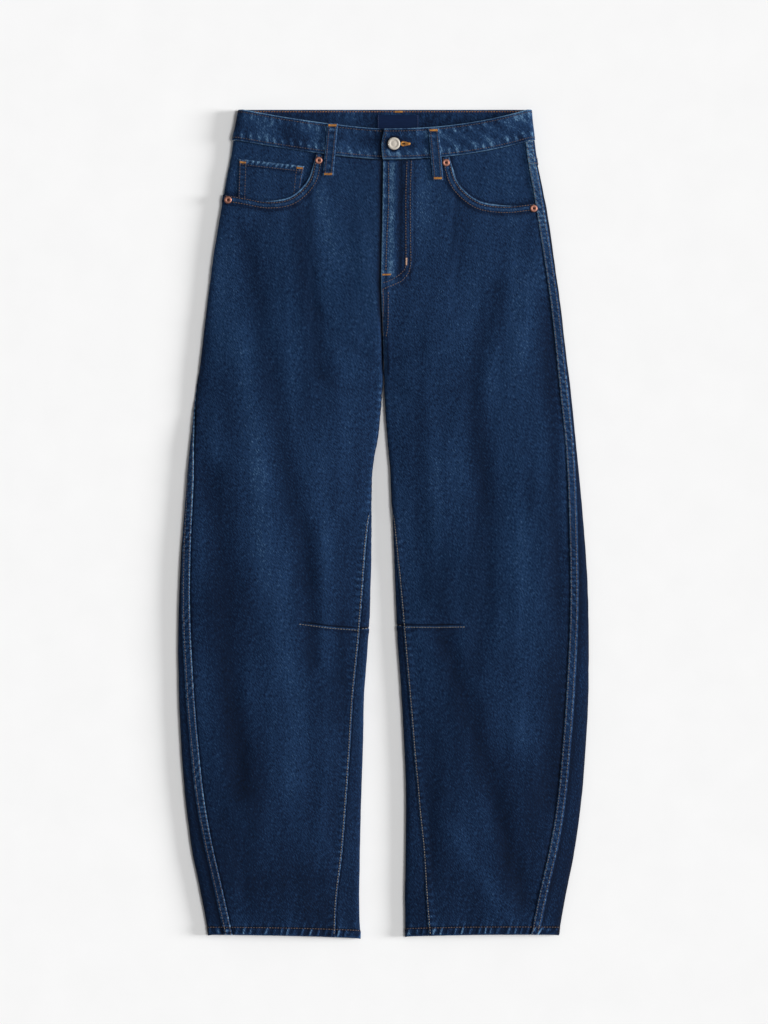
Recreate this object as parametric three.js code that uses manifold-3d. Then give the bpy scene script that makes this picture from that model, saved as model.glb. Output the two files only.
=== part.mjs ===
// Barrel leg denim trousers, laid flat on their back with the front up, in millimetres.
// X runs across the garment: the wearer's right leg is at -X and the left leg at +X.
// Y runs from the hems to the waist, and Z rises from the surface that the garment lies on.
// Every cloth piece is a thin wall cut from one laid shape: two flattened leg tubes that open
// into one seat above the crotch. Heights in the tables below are measured from the hems.
import * as THREE from "three";
import { mergeVertices } from "three/addons/utils/BufferGeometryUtils.js";
import Module from "manifold-3d";

// Lengths of the garment
const LENGTH = 1008; // hem to the top of the back waistband
const CROTCH = 684; // hem to the crotch, the inside leg
const BAND_HEIGHT = 37.5;
const BAND_FRONT_CENTRE = 947; // lower edge of the waistband at the centre front
const BAND_SIDE = 970.5; // lower edge of the waistband at the sides and the back
const BAND_CURVE = 1.35; // how steeply the front waistband rises to the sides
const YOKE_SIDE = 941; // yoke seam at the sides
const YOKE_CENTRE = 905; // yoke seam at the centre back
const HEM_DEPTH = 11;
const HEM_WAVE = 2.4; // how far a hem's edge rises between its two folds

// Walls and gaps
const DENIM = 1.2;
const HEM_WALL = 2.1;
const FACING_WALL = 1.0;
const BAND_WALL = 2.8;
const BAND_PROUD = 0.8; // how far the waistband stands above the panels
const SEAM_GAP = 0.3;

// The laid form
const FOLD_ROLL = 5.2; // how far in from the edge a fold is round
const ROLL_SHARE = 0.15; // share of a layer's columns that each rolled edge takes
const SEAT_BLEND = 105; // height above the crotch at which the front is level again
const POCKET_LIFT = 1.5; // the seat lies on the back pockets
const LOOP_LIFT = 0.8; // and the waistband on the back belt loops too

// Height of the folded edges, and how far the front swells above them
const SECTIONS = [
  { y: 0, fold: 8.2, swell: 3.4 },
  { y: 200, fold: 9.0, swell: 5.8 },
  { y: 450, fold: 9.0, swell: 6.6 },
  { y: 684, fold: 9.0, swell: 6.2 },
  { y: 900, fold: 10.2, swell: 5.0 },
  { y: 1008, fold: 11.6, swell: 4.4 },
];

// Half widths of the laid outline, from the centre line
const OUTLINE = [
  { y: 0, outer: 213.5, rightInner: 28.7, leftInner: 26.3 },
  { y: 50, outer: 222.7, rightInner: 29.6, leftInner: 25.6 },
  { y: 111, outer: 234.9, rightInner: 28.4, leftInner: 26.8 },
  { y: 172, outer: 242.2, rightInner: 26.8, leftInner: 27.0 },
  { y: 233, outer: 247.0, rightInner: 25.0, leftInner: 24.6 },
  { y: 294, outer: 250.0, rightInner: 23.4, leftInner: 21.8 },
  { y: 370, outer: 250.7, rightInner: 18.4, leftInner: 16.4 },
  { y: 446, outer: 248.3, rightInner: 14.8, leftInner: 13.2 },
  { y: 507, outer: 244.0, rightInner: 14.6, leftInner: 11.0 },
  { y: 568, outer: 238.4, rightInner: 13.4, leftInner: 8.2 },
  { y: 610, outer: 234.2, rightInner: 7.2, leftInner: 4.2 },
  { y: 660, outer: 228.8, rightInner: 1.8, leftInner: 0.8 },
  { y: 684, outer: 226.0, rightInner: 0.15, leftInner: 0.15 },
  { y: 751, outer: 218.2, rightInner: 0.15, leftInner: 0.15 },
  { y: 843, outer: 205.6, rightInner: 0.15, leftInner: 0.15 },
  { y: 904, outer: 195.8, rightInner: 0.15, leftInner: 0.15 },
  { y: 951, outer: 187.0, rightInner: 0.15, leftInner: 0.15 },
  { y: 1008, outer: 180.2, rightInner: 0.15, leftInner: 0.15 },
];

// How far in from the folded edges the seams show on the front, and 0 where they lie in the fold
const INSEAMS = [
  { y: 0, right: 30.0, left: 29.0 },
  { y: 44, right: 27.3, left: 26.2 },
  { y: 105, right: 21.2, left: 21.0 },
  { y: 166, right: 18.0, left: 14.6 },
  { y: 288, right: 13.3, left: 9.3 },
  { y: 379, right: 10.4, left: 7.6 },
  { y: 459, right: 8.0, left: 3.6 },
  { y: 500, right: 4.0, left: 1.4 },
  { y: 532, right: 0.0, left: 0.0 },
  { y: 1008, right: 0.0, left: 0.0 },
];
const OUTSEAMS = [
  { y: 0, right: 29.8, left: 34.2 },
  { y: 44, right: 28.2, left: 33.4 },
  { y: 105, right: 26.6, left: 32.0 },
  { y: 166, right: 23.2, left: 29.6 },
  { y: 227, right: 21.4, left: 28.8 },
  { y: 312, right: 18.4, left: 26.6 },
  { y: 410, right: 13.8, left: 22.2 },
  { y: 471, right: 11.6, left: 19.8 },
  { y: 556, right: 8.0, left: 15.0 },
  { y: 605, right: 3.6, left: 13.2 },
  { y: 654, right: 0.0, left: 12.2 },
  { y: 776, right: 0.0, left: 10.0 },
  { y: 873, right: 0.0, left: 11.6 },
  { y: 1008, right: 0.0, left: 11.2 },
];

// The largest folds in the front: each sinks by `depth` along its path, or rises where it is negative
const FOLDS = [
  { width: 15, depth: 1.2, path: [[-169, 855], [-138, 690], [-112, 544], [-96, 440]] }, // hip to knee, right
  { width: 17, depth: 1.7, path: [[-206, 560], [-197, 410], [-185, 288], [-175, 178]] }, // outer calf, right
  { width: 22, depth: -0.8, path: [[-150, 556], [-136, 380], [-114, 190]] }, // ridge down the shin, right
  { width: 13, depth: 0.9, path: [[-102, 880], [-78, 690]] }, // below the pocket, right
  { width: 13, depth: 1.1, path: [[-96, 495], [-87, 337]] }, // inner knee, right
  { width: 15, depth: 1.3, path: [[136, 788], [106, 678], [120, 532], [125, 410], [114, 330]] }, // thigh, left
  { width: 13, depth: 1.3, path: [[200, 776], [207, 593], [214, 459], [214, 349], [200, 166]] }, // outseam, left
  { width: 14, depth: 1.4, path: [[75, 361], [106, 270], [154, 93], [172, 45]] }, // across the shin, left
  { width: 14, depth: -0.9, path: [[81, 129], [150, 25]] }, // ridge above the hem, left
];

// The edge of each front pocket mouth, from the waistband to the side
const POCKET_MOUTHS = {
  right: [[-81, 968], [-84, 950], [-91, 922], [-112, 901.5], [-140, 896.5], [-170, 901.5], [-206, 907.5]],
  left: [[79, 966], [82, 945], [91, 917.5], [115, 896.5], [146, 891], [175, 893.5], [208, 898]],
};
const MOUTH_REACH = { outside: 270, above: 1030 }; // how far the cut runs out past the panel
const MOUTH_LAP = 12; // how far a facing runs on under the pocket's edge
const FACING_BOTTOM = 868;

// Outlines of the pieces that lie on or under a panel; the back pocket's is for the left side
const COIN_POCKET = [[-176.4, 948], [-96.7, 939], [-103, 890], [-178, 890]];
const BACK_POCKET = [[30, 876], [172, 876], [165, 772], [100, 750], [36, 772]];
const LABEL = { from: [-8, 973], to: [43, 1002], wall: 0.7 };

// The fly: a J that the second layer under the left front raises, and the zip under it
const FLY = { width: 34, bottom: 792, corner: 34, rise: 0.9 };
const FLY_FACING = { edge: 1.2, width: 32, bottom: 800, top: 944, depth: 0.9, wall: 0.9 };
const ZIP = { from: [4, 808], to: [27, 943], wall: 1.5 };

// The waistband's left end lies over its right end at the centre front
const LAP = { over: -0.05, under: 36, full: 38, level: 54, rise: (BAND_WALL + SEAM_GAP) / 2 };

// Belt loops, placed by their middles at the top and the bottom
const LOOP = { width: 13, wall: 2.0, backWall: 1.2 };
const LOOPS = [
  { name: "front_right", layer: "front", top: [-62, 991], bottom: [-67.7, 927] },
  { name: "front_left", layer: "front", top: [60.8, 987], bottom: [66.5, 923] },
  { name: "side_right", layer: "back", top: [-118, 1006.5], bottom: [-121, 942] },
  { name: "side_left", layer: "back", top: [118, 1006.5], bottom: [121, 942] },
  { name: "back", layer: "back", top: [18, 1006.5], bottom: [18, 942] },
];

const BUTTON = { at: [12.8, 966.3], radius: 7.6, height: 3.4 };
const RIVET = { radius: 4.3, height: 1.4 };
const RIVETS = [
  { name: "right_inner", at: [-79.0, 946.0] },
  { name: "right_outer", at: [-189.6, 898.0] },
  { name: "left_inner", at: [77.7, 943.0] },
  { name: "left_outer", at: [183.2, 887.6] },
];

const SIDES = [
  { name: "right", sign: -1 },
  { name: "left", sign: 1 },
];

const COLOURS = {
  denim: { color: 0x192b48, roughness: 0.9, metalness: 0 },
  facing: { color: 0x16253f, roughness: 0.9, metalness: 0 },
  label: { color: 0x1d2a4a, roughness: 0.7, metalness: 0 },
  zip: { color: 0x20283a, roughness: 0.6, metalness: 0 },
  button: { color: 0xb4b6b8, roughness: 0.35, metalness: 1 },
  rivet: { color: 0x9a5b3a, roughness: 0.4, metalness: 1 },
};

const lerp = THREE.MathUtils.lerp;
const clamp = THREE.MathUtils.clamp;
const smooth = (from, to, at) => THREE.MathUtils.smoothstep(at, from, to);

// A smooth curve through one column of a table, as a function of height.
function curveOf(rows, key) {
  const last = rows.length - 1;
  const slopes = rows.map((_, i) => {
    const [a, b] = [rows[Math.max(i - 1, 0)], rows[Math.min(i + 1, last)]];
    return (b[key] - a[key]) / (b.y - a.y);
  });
  return (y) => {
    const at = clamp(y, rows[0].y, rows[last].y);
    const next = rows.findIndex((row, i) => i > 0 && row.y >= at);
    const [low, high] = [rows[next - 1], rows[next]];
    const span = high.y - low.y;
    const t = (at - low.y) / span;
    const start = (2 * t ** 3 - 3 * t ** 2 + 1) * low[key] + (t ** 3 - 2 * t ** 2 + t) * span * slopes[next - 1];
    const end = (-2 * t ** 3 + 3 * t ** 2) * high[key] + (t ** 3 - t ** 2) * span * slopes[next];
    return start + end;
  };
}

const foldHeight = curveOf(SECTIONS, "fold");
const swell = curveOf(SECTIONS, "swell");
const outerEdge = curveOf(OUTLINE, "outer");
const innerEdge = { right: curveOf(OUTLINE, "rightInner"), left: curveOf(OUTLINE, "leftInner") };
const inseamInset = { right: curveOf(INSEAMS, "right"), left: curveOf(INSEAMS, "left") };
const outseamInset = { right: curveOf(OUTSEAMS, "right"), left: curveOf(OUTSEAMS, "left") };
const seatLift = (y) =>
  POCKET_LIFT * smooth(CROTCH, CROTCH + 62, y) + LOOP_LIFT * smooth(YOKE_CENTRE - 28, YOKE_CENTRE, y);

// Distance from a point to a path of straight stretches.
function distanceTo(path, x, y) {
  const point = new THREE.Vector3(x, y, 0);
  const near = new THREE.Vector3();
  const stretches = path.slice(1).map((end, i) => {
    const line = new THREE.Line3(new THREE.Vector3(...path[i], 0), new THREE.Vector3(...end, 0));
    return line.closestPointToPoint(point, true, near).distanceTo(point);
  });
  return Math.min(...stretches);
}

function foldsAt(x, y) {
  return FOLDS.reduce((sum, fold) => {
    const away = distanceTo(fold.path, x, y) / fold.width;
    return sum - fold.depth * Math.exp(-away * away);
  }, 0);
}

// One leg's cross-section at a height: its edges, and how far it has opened into the seat.
function sectionAt(side, y) {
  return {
    y,
    side,
    outer: outerEdge(y),
    inner: Math.max(innerEdge[side.name](y), SEAM_GAP / 2),
    fold: foldHeight(y),
    lift: seatLift(y),
    seat: smooth(CROTCH, CROTCH + SEAT_BLEND, y),
    seatBelow: smooth(CROTCH, CROTCH + SEAT_BLEND / 2, y),
  };
}

// Distance from the centre line at share f of a layer, from its inner edge (0) to its outer edge (1).
function acrossAt(section, f) {
  const { inner, outer, seat } = section;
  if (f < ROLL_SHARE) {
    const turn = f / ROLL_SHARE;
    return inner + FOLD_ROLL * lerp(1 - Math.cos((turn * Math.PI) / 2), turn, seat);
  }
  if (f > 1 - ROLL_SHARE) {
    const turn = (1 - f) / ROLL_SHARE;
    return outer - FOLD_ROLL * (1 - Math.cos((turn * Math.PI) / 2));
  }
  return lerp(inner + FOLD_ROLL, outer - FOLD_ROLL, (f - ROLL_SHARE) / (1 - 2 * ROLL_SHARE));
}

// The share of a layer at a distance from the centre line.
function shareAt(section, across) {
  const { inner, outer, seat } = section;
  const fromOuter = Math.max(outer - across, 0);
  if (fromOuter < FOLD_ROLL) {
    return 1 - (ROLL_SHARE * Math.acos(1 - fromOuter / FOLD_ROLL)) / (Math.PI / 2);
  }
  const fromInner = Math.max(across - inner, 0);
  if (fromInner < FOLD_ROLL) {
    const rolled = Math.acos(1 - fromInner / FOLD_ROLL) / (Math.PI / 2);
    return ROLL_SHARE * lerp(rolled, fromInner / FOLD_ROLL, seat);
  }
  return ROLL_SHARE + ((1 - 2 * ROLL_SHARE) * (fromInner - FOLD_ROLL)) / (outer - inner - 2 * FOLD_ROLL);
}

// Height of the front layer where it isn't rolled.
function frontLevel(section, across) {
  const { inner, outer, seat, y, side, fold } = section;
  const share = clamp((across - inner) / (outer - inner), 0, 1);
  const leg = 1 - Math.abs(2 * share - 1) ** 2.6;
  const hip = 1 - share ** 3;
  return fold + swell(y) * lerp(leg, hip, seat) + foldsAt(side.sign * across, y);
}

// A point of the laid shape's outer face. g runs round a leg: 0 to 1 over the front from the
// inner edge (or the centre front) to the outer edge, and 1 to 2 back under it. Past 2 it is
// on the front again, as at the inseams.
function laidPoint(side, y, g) {
  const section = sectionAt(side, y);
  const roundAgain = g > 2 && y < CROTCH;
  const onFront = g <= 1 || roundAgain;
  const f = roundAgain ? g - 2 : g <= 1 ? g : 2 - g;
  const across = acrossAt(section, f);
  const mid = (section.fold + section.lift) / 2;
  const level = onFront ? frontLevel(section, across) : section.lift;
  let z = level;
  if (f < ROLL_SHARE) {
    const open = onFront ? frontLevel(section, section.inner) : section.lift;
    const centre = lerp(mid, open, onFront ? section.seat : section.seatBelow);
    z = lerp(centre, level, Math.sin(((f / ROLL_SHARE) * Math.PI) / 2));
  } else if (f > 1 - ROLL_SHARE) {
    z = lerp(mid, level, Math.sin((((1 - f) / ROLL_SHARE) * Math.PI) / 2));
  }
  return new THREE.Vector3(side.sign * across, y, z);
}

// The outward normal and the direction of growing g at a point of the laid shape.
function directionsAt(side, y, g) {
  const step = 0.004;
  const along = laidPoint(side, y, g + step).sub(laidPoint(side, y, g - step)).normalize();
  const up = laidPoint(side, y + 1, g).sub(laidPoint(side, y - 1, g)).normalize();
  const normal = new THREE.Vector3().crossVectors(along, up).multiplyScalar(side.sign).normalize();
  return { along, normal };
}

// A point at a depth below the outer face; a negative depth stands proud of it.
function wallPoint(side, y, g, depth) {
  return laidPoint(side, y, g).addScaledVector(directionsAt(side, y, g).normal, -depth);
}

const sideOf = (x) => (x < 0 ? SIDES[0] : SIDES[1]);

// A point over or under (x, y) on the front or the back layer, at a depth below its outer face.
function layerPoint(layer, x, y, depth) {
  const side = sideOf(x);
  const share = shareAt(sectionAt(side, y), Math.abs(x));
  return wallPoint(side, y, layer === "front" ? share : 2 - share, depth);
}

// Where the seams run, as g.
function inseamG(side, y) {
  const section = sectionAt(side, y);
  const inset = Math.max(inseamInset[side.name](y), 0);
  return inset > 0.05 ? shareAt(section, section.inner + inset) : 0;
}

function outseamG(side, y) {
  const section = sectionAt(side, y);
  const inset = Math.max(outseamInset[side.name](y), 0);
  const share = inset > 0.05 ? shareAt(section, section.outer - inset) : 1;
  const behind = side.name === "right" ? 0.05 * smooth(640, 720, y) : 0; // round the fold
  return share + behind;
}

// Edges of the cloth pieces across the garment, as heights at g.
const WAIST = { inner: 0, outer: 186, seat: 1 };
function bandBottom(g) {
  const toSide = g > 1 ? 1 : Math.abs(acrossAt(WAIST, g)) / (WAIST.outer - FOLD_ROLL);
  return lerp(BAND_FRONT_CENTRE, BAND_SIDE, clamp(toSide, 0, 1) ** BAND_CURVE);
}
const yokeSeam = (g) => lerp(YOKE_SIDE, YOKE_CENTRE, smooth(0.9, 2, g));
function hemLine(g) {
  const f = g > 2 ? g - 2 : g <= 1 ? g : 2 - g;
  return HEM_WAVE * Math.sin(Math.PI * clamp(f, 0, 1)) ** 0.7;
}

// How far the fly's second layer raises the left front.
function flyRise(side, x, y) {
  if (side.name !== "left") return 0;
  const turn = FLY.bottom + FLY.corner;
  const reach = y > turn ? x : Math.hypot(x, ((turn - y) * FLY.width) / FLY.corner);
  return FLY.rise * (1 - smooth(FLY.width - 5, FLY.width + 9, reach));
}

// A closed wall from two grids of points, the outer face's and the inner face's.
function wallGeometry(outer, inner) {
  const rows = outer.length;
  const columns = outer[0].length;
  const positions = [...outer.flat(), ...inner.flat()].flatMap((p) => [p.x, p.y, p.z]);
  const outerAt = (i, j) => i * columns + j;
  const innerAt = (i, j) => rows * columns + i * columns + j;
  const index = [];
  const quad = (a, b, c, d) => index.push(a, b, c, a, c, d);
  for (let i = 0; i < rows - 1; i += 1) {
    for (let j = 0; j < columns - 1; j += 1) {
      quad(outerAt(i, j), outerAt(i, j + 1), outerAt(i + 1, j + 1), outerAt(i + 1, j));
      quad(innerAt(i, j), innerAt(i + 1, j), innerAt(i + 1, j + 1), innerAt(i, j + 1));
    }
    quad(outerAt(i + 1, 0), innerAt(i + 1, 0), innerAt(i, 0), outerAt(i, 0));
    quad(outerAt(i + 1, columns - 1), outerAt(i, columns - 1), innerAt(i, columns - 1), innerAt(i + 1, columns - 1));
  }
  for (let j = 0; j < columns - 1; j += 1) {
    quad(outerAt(0, j + 1), outerAt(0, j), innerAt(0, j), innerAt(0, j + 1));
    quad(outerAt(rows - 1, j + 1), innerAt(rows - 1, j + 1), innerAt(rows - 1, j), outerAt(rows - 1, j));
  }
  const geometry = new THREE.BufferGeometry();
  geometry.setAttribute("position", new THREE.Float32BufferAttribute(positions, 3));
  geometry.setIndex(index);
  return geometry;
}

// Turns a geometry's faces round where its grid ran the other way about.
function turned(geometry, isTurned) {
  if (!isTurned) return geometry;
  const { array } = geometry.index;
  for (let i = 0; i < array.length; i += 3) {
    [array[i + 1], array[i + 2]] = [array[i + 2], array[i + 1]];
  }
  return geometry;
}

const wasm = await Module();
wasm.setup();

function solidOf(geometry) {
  const bare = geometry.index ? geometry.toNonIndexed() : geometry.clone();
  bare.deleteAttribute("normal");
  bare.deleteAttribute("uv");
  const merged = mergeVertices(bare, 1e-4);
  const mesh = new wasm.Mesh({
    numProp: 3,
    vertProperties: merged.attributes.position.array,
    triVerts: new Uint32Array(merged.index.array),
  });
  return new wasm.Manifold(mesh);
}

function geometryOf(solid) {
  const mesh = solid.getMesh();
  const geometry = new THREE.BufferGeometry();
  geometry.setAttribute("position", new THREE.BufferAttribute(new Float32Array(mesh.vertProperties), 3));
  geometry.setIndex(new THREE.BufferAttribute(new Uint32Array(mesh.triVerts), 1));
  return geometry;
}

// An upright prism over an outline, through the whole garment.
function prismOver(outline) {
  const shape = new THREE.Shape(outline.map(([x, y]) => new THREE.Vector2(x, y)));
  const prism = new THREE.ExtrudeGeometry(shape, { depth: 60, bevelEnabled: false });
  return solidOf(prism.translate(0, 0, -20));
}

// The prism over a pocket mouth, its edge moved towards the centre and the hem by `lap`.
function mouthPrism(side, lap) {
  const curve = new THREE.SplineCurve(POCKET_MOUTHS[side.name].map(([x, y]) => new THREE.Vector2(x, y)));
  const edge = curve.getPoints(24).map((p) => [p.x - side.sign * lap, p.y - lap]);
  const outside = side.sign * MOUTH_REACH.outside;
  const corners = [[outside, edge.at(-1)[1]], [outside, MOUTH_REACH.above], [edge[0][0], MOUTH_REACH.above]];
  return prismOver([...edge, ...corners]);
}

// A cloth panel between two seams, as rows of points from its lower to its upper edge. Rows are
// heights at the side, and those above the crotch spread or close up to follow the upper edge.
function panelGeometry({ side, rows, columns, startG, endG, top, bottom, wall, rise = () => 0, depth = 0 }) {
  const [foot, head] = [rows[0], rows.at(-1)];
  const heightAt = (row, g) => {
    if (row <= CROTCH) return row + bottom(g) * (1 - row / CROTCH);
    const base = Math.max(foot, CROTCH);
    const low = foot > CROTCH ? bottom(g) : CROTCH;
    return lerp(low, top(g), (row - base) / (head - base));
  };
  const seamAt = (row, seam) => {
    let y = row;
    for (let i = 0; i < 4; i += 1) y = heightAt(row, seam(side, y));
    return seam(side, y);
  };
  const outer = [];
  const inner = [];
  rows.forEach((row, i) => {
    const [from, to] = [seamAt(row, startG), seamAt(row, endG)];
    const seamEdge = i === rows.length - 1 ? -SEAM_GAP / 2 : i === 0 && foot > 0 ? SEAM_GAP / 2 : 0;
    const lines = { outer: [], inner: [] };
    for (let j = 0; j < columns; j += 1) {
      const g = lerp(from, to, j / (columns - 1));
      const y = heightAt(row, g) + seamEdge;
      const section = sectionAt(side, y);
      const { along, normal } = directionsAt(side, y, g);
      const startGap = j === 0 ? (g > 0.01 ? 1 : 1 - section.seat) : 0;
      const endGap = j === columns - 1 ? (y < CROTCH || g < 1.99 ? 1 : 1 - section.seatBelow) : 0;
      const point = laidPoint(side, y, g).addScaledVector(along, ((startGap - endGap) * SEAM_GAP) / 2);
      const raised = rise(side, Math.abs(point.x), y) - depth;
      lines.outer.push(point.clone().addScaledVector(normal, raised));
      lines.inner.push(point.clone().addScaledVector(normal, raised - wall(y)));
    }
    outer.push(lines.outer);
    inner.push(lines.inner);
  });
  return turned(wallGeometry(outer, inner), side.sign < 0);
}

// A flat piece on a layer, between two depths, over an outline.
function patchSolid({ layer, outline, steps, depth, wall }) {
  const box = new THREE.Box2().setFromPoints(outline.map(([x, y]) => new THREE.Vector2(x, y)));
  const grid = (below) =>
    Array.from({ length: steps.y + 1 }, (_, i) =>
      Array.from({ length: steps.x + 1 }, (__, j) => {
        const x = lerp(box.min.x - 1, box.max.x + 1, j / steps.x);
        const y = lerp(box.min.y - 1, box.max.y + 1, i / steps.y);
        return layerPoint(layer, x, y, below);
      }),
    );
  const wallFaces = wallGeometry(grid(depth), grid(depth + wall));
  return solidOf(turned(wallFaces, layer === "back")).intersect(prismOver(outline));
}

const rectangle = ([x0, y0], [x1, y1]) => [[x0, y0], [x1, y0], [x1, y1], [x0, y1]];

const denimWall = () => DENIM;
const hemmedWall = (y) => (y < HEM_DEPTH + 1 ? HEM_WALL : DENIM);
const LEG_ROWS = [0, HEM_DEPTH, 17, 52, 92, 134, 178, 222, 268, 314, 360, 406, 452, 496, 532, 572, 612, 650];
const SEAT_ROWS = [CROTCH, 704, 728, 756, 786, 816, 846, 876, 908];
const YOKE_ROWS = [YOKE_SIDE, 956, BAND_SIDE];

function frontPanel(side) {
  const whole = panelGeometry({
    side,
    rows: [...LEG_ROWS, ...SEAT_ROWS, ...YOKE_ROWS],
    columns: 17,
    startG: inseamG,
    endG: outseamG,
    top: bandBottom,
    bottom: hemLine,
    wall: hemmedWall,
    rise: flyRise,
  });
  return geometryOf(solidOf(whole).subtract(mouthPrism(side, 0)));
}

function backPanel(side) {
  return panelGeometry({
    side,
    rows: [...LEG_ROWS, ...SEAT_ROWS, YOKE_SIDE],
    columns: 18,
    startG: outseamG,
    endG: (leg, y) => (y < CROTCH ? 2 + inseamG(leg, y) : 2),
    top: yokeSeam,
    bottom: hemLine,
    wall: hemmedWall,
  });
}

function yokePanel(side) {
  return panelGeometry({
    side,
    rows: YOKE_ROWS,
    columns: 18,
    startG: outseamG,
    endG: () => 2,
    top: bandBottom,
    bottom: yokeSeam,
    wall: denimWall,
  });
}

// The denim inside a pocket mouth, which runs on under the pocket's edge.
function pocketFacing(side) {
  const whole = panelGeometry({
    side,
    rows: [876, 908, ...YOKE_ROWS],
    columns: 14,
    startG: () => 0.28,
    endG: outseamG,
    top: bandBottom,
    bottom: () => FACING_BOTTOM,
    wall: () => FACING_WALL,
    depth: DENIM + SEAM_GAP,
  });
  return geometryOf(solidOf(whole).intersect(mouthPrism(side, MOUTH_LAP)));
}

function coinPocket() {
  const patch = patchSolid({ layer: "front", outline: COIN_POCKET, steps: { x: 8, y: 4 }, depth: 0, wall: DENIM });
  return geometryOf(patch.intersect(mouthPrism(SIDES[0], -SEAM_GAP)));
}

function flyFacing() {
  const { edge, width, bottom, top, depth, wall } = FLY_FACING;
  const arc = new THREE.EllipseCurve(0, bottom + width, width, width, 0, -Math.PI / 2, true);
  const curve = arc.getPoints(8).map((p) => [Math.max(p.x, edge), p.y]);
  const outline = [[edge, top], [width, top], ...curve];
  return geometryOf(patchSolid({ layer: "front", outline, steps: { x: 4, y: 6 }, depth, wall }));
}

function zipStrip() {
  const outline = rectangle(ZIP.from, ZIP.to);
  const depth = FLY_FACING.depth + FLY_FACING.wall + SEAM_GAP;
  return geometryOf(patchSolid({ layer: "front", outline, steps: { x: 3, y: 6 }, depth, wall: ZIP.wall }));
}

function backPocket(side) {
  const outline = BACK_POCKET.map(([x, y]) => [side.sign * x, y]);
  const patch = { layer: "back", outline, steps: { x: 4, y: 4 }, depth: -POCKET_LIFT, wall: POCKET_LIFT - SEAM_GAP };
  return geometryOf(patchSolid(patch));
}

function labelPatch() {
  const outline = rectangle(LABEL.from, LABEL.to);
  const depth = BAND_WALL - BAND_PROUD + SEAM_GAP;
  return geometryOf(patchSolid({ layer: "back", outline, steps: { x: 2, y: 2 }, depth, wall: LABEL.wall }));
}

// How far the waistband stands above the front panels: its left end lies over its right end.
function bandProud(side, x) {
  const near = 1 - smooth(LAP.full, LAP.level, x);
  return BAND_PROUD + (side.name === "left" ? LAP.rise : -LAP.rise) * near;
}

// The waistband's stations from its left end, round the back to its right end, and under the left.
function bandStations() {
  const run = (side, from, to, steps) =>
    Array.from({ length: steps + 1 }, (_, i) => ({ side, g: lerp(from, to, i / steps), under: false }));
  const underG = shareAt(sectionAt(SIDES[1], BAND_FRONT_CENTRE), LAP.under);
  const tucked = run(SIDES[1], 0, underG, 4).map((station) => ({ ...station, under: true }));
  return [
    ...run(SIDES[1], LAP.over, 1 - ROLL_SHARE, 12),
    ...run(SIDES[1], 1 - ROLL_SHARE, 1 + ROLL_SHARE, 8).slice(1),
    ...run(SIDES[1], 1 + ROLL_SHARE, 2, 8).slice(1),
    ...run(SIDES[0], 2, 1 + ROLL_SHARE, 8).slice(1),
    ...run(SIDES[0], 1 + ROLL_SHARE, 1 - ROLL_SHARE, 8).slice(1),
    ...run(SIDES[0], 1 - ROLL_SHARE, 0, 12).slice(1),
    ...tucked.slice(1),
  ];
}

function waistband() {
  const shares = [0, 0.04, 0.5, 0.96, 1];
  const rounding = [0.6, 0, 0, 0, 0.6]; // the folded edges are thinner than the middle
  const stations = bandStations();
  const grid = (face) =>
    shares.map((share, i) =>
      stations.map(({ side, g, under }) => {
        const y = bandBottom(g) + SEAM_GAP + BAND_HEIGHT * share;
        const x = Math.abs(laidPoint(side, y, g).x);
        const proud = under ? BAND_PROUD - LAP.rise : g > 1 ? BAND_PROUD : bandProud(side, x);
        const depth = face === "outer" ? rounding[i] : BAND_WALL - rounding[i] * 0.5;
        return wallPoint(side, y, g, depth - proud);
      }),
    );
  return wallGeometry(grid("outer"), grid("inner"));
}

// A belt loop: a strip that climbs from the panel on to the waistband.
function beltLoop({ layer, top, bottom }) {
  const wall = layer === "front" ? LOOP.wall : LOOP.backWall;
  const side = sideOf(top[0]);
  const middle = sectionAt(side, bottom[1]);
  const share = shareAt(middle, Math.abs(bottom[0]));
  const seam = bandBottom(layer === "front" ? share : 1);
  const onBand = bandProud(side, Math.abs(top[0])) + SEAM_GAP;
  const isFront = layer === "front";
  const bandLift = isFront ? onBand : BAND_PROUD + SEAM_GAP;
  const slack = isFront ? 0.5 : 0;
  const stations = [
    { y: bottom[1], lift: SEAM_GAP },
    { y: seam - 8, lift: SEAM_GAP + slack * 0.6 },
    { y: seam - 4, lift: SEAM_GAP + slack },
    { y: seam - 1, lift: bandLift + 0.1 },
    { y: seam + 12, lift: bandLift + slack },
    { y: seam + 26, lift: bandLift + slack * 0.6 },
    { y: top[1], lift: bandLift },
  ];
  const slope = (top[0] - bottom[0]) / (top[1] - bottom[1]);
  const offsets = [-LOOP.width / 2, 0, LOOP.width / 2];
  const grid = (thickness) =>
    stations.map(({ y, lift }) =>
      offsets.map((offset) => {
        const x = bottom[0] + slope * (y - bottom[1]) + offset;
        return layerPoint(layer, x, y, -(lift + thickness));
      }),
    );
  return turned(wallGeometry(grid(wall), grid(0)), !isFront);
}

// A fastener's turned profile, set on a layer with its axis along the surface's normal.
function fastener(points, layer, [x, y], lift) {
  const profile = points.map(([radius, height]) => new THREE.Vector2(radius, height));
  const lathe = new THREE.LatheGeometry(profile, 14).rotateX(Math.PI / 2);
  const side = sideOf(x);
  const share = shareAt(sectionAt(side, y), Math.abs(x));
  const { normal } = directionsAt(side, y, share);
  const turn = new THREE.Quaternion().setFromUnitVectors(new THREE.Vector3(0, 0, 1), normal);
  return lathe.applyQuaternion(turn).translate(...layerPoint(layer, x, y, -lift).toArray());
}

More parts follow.
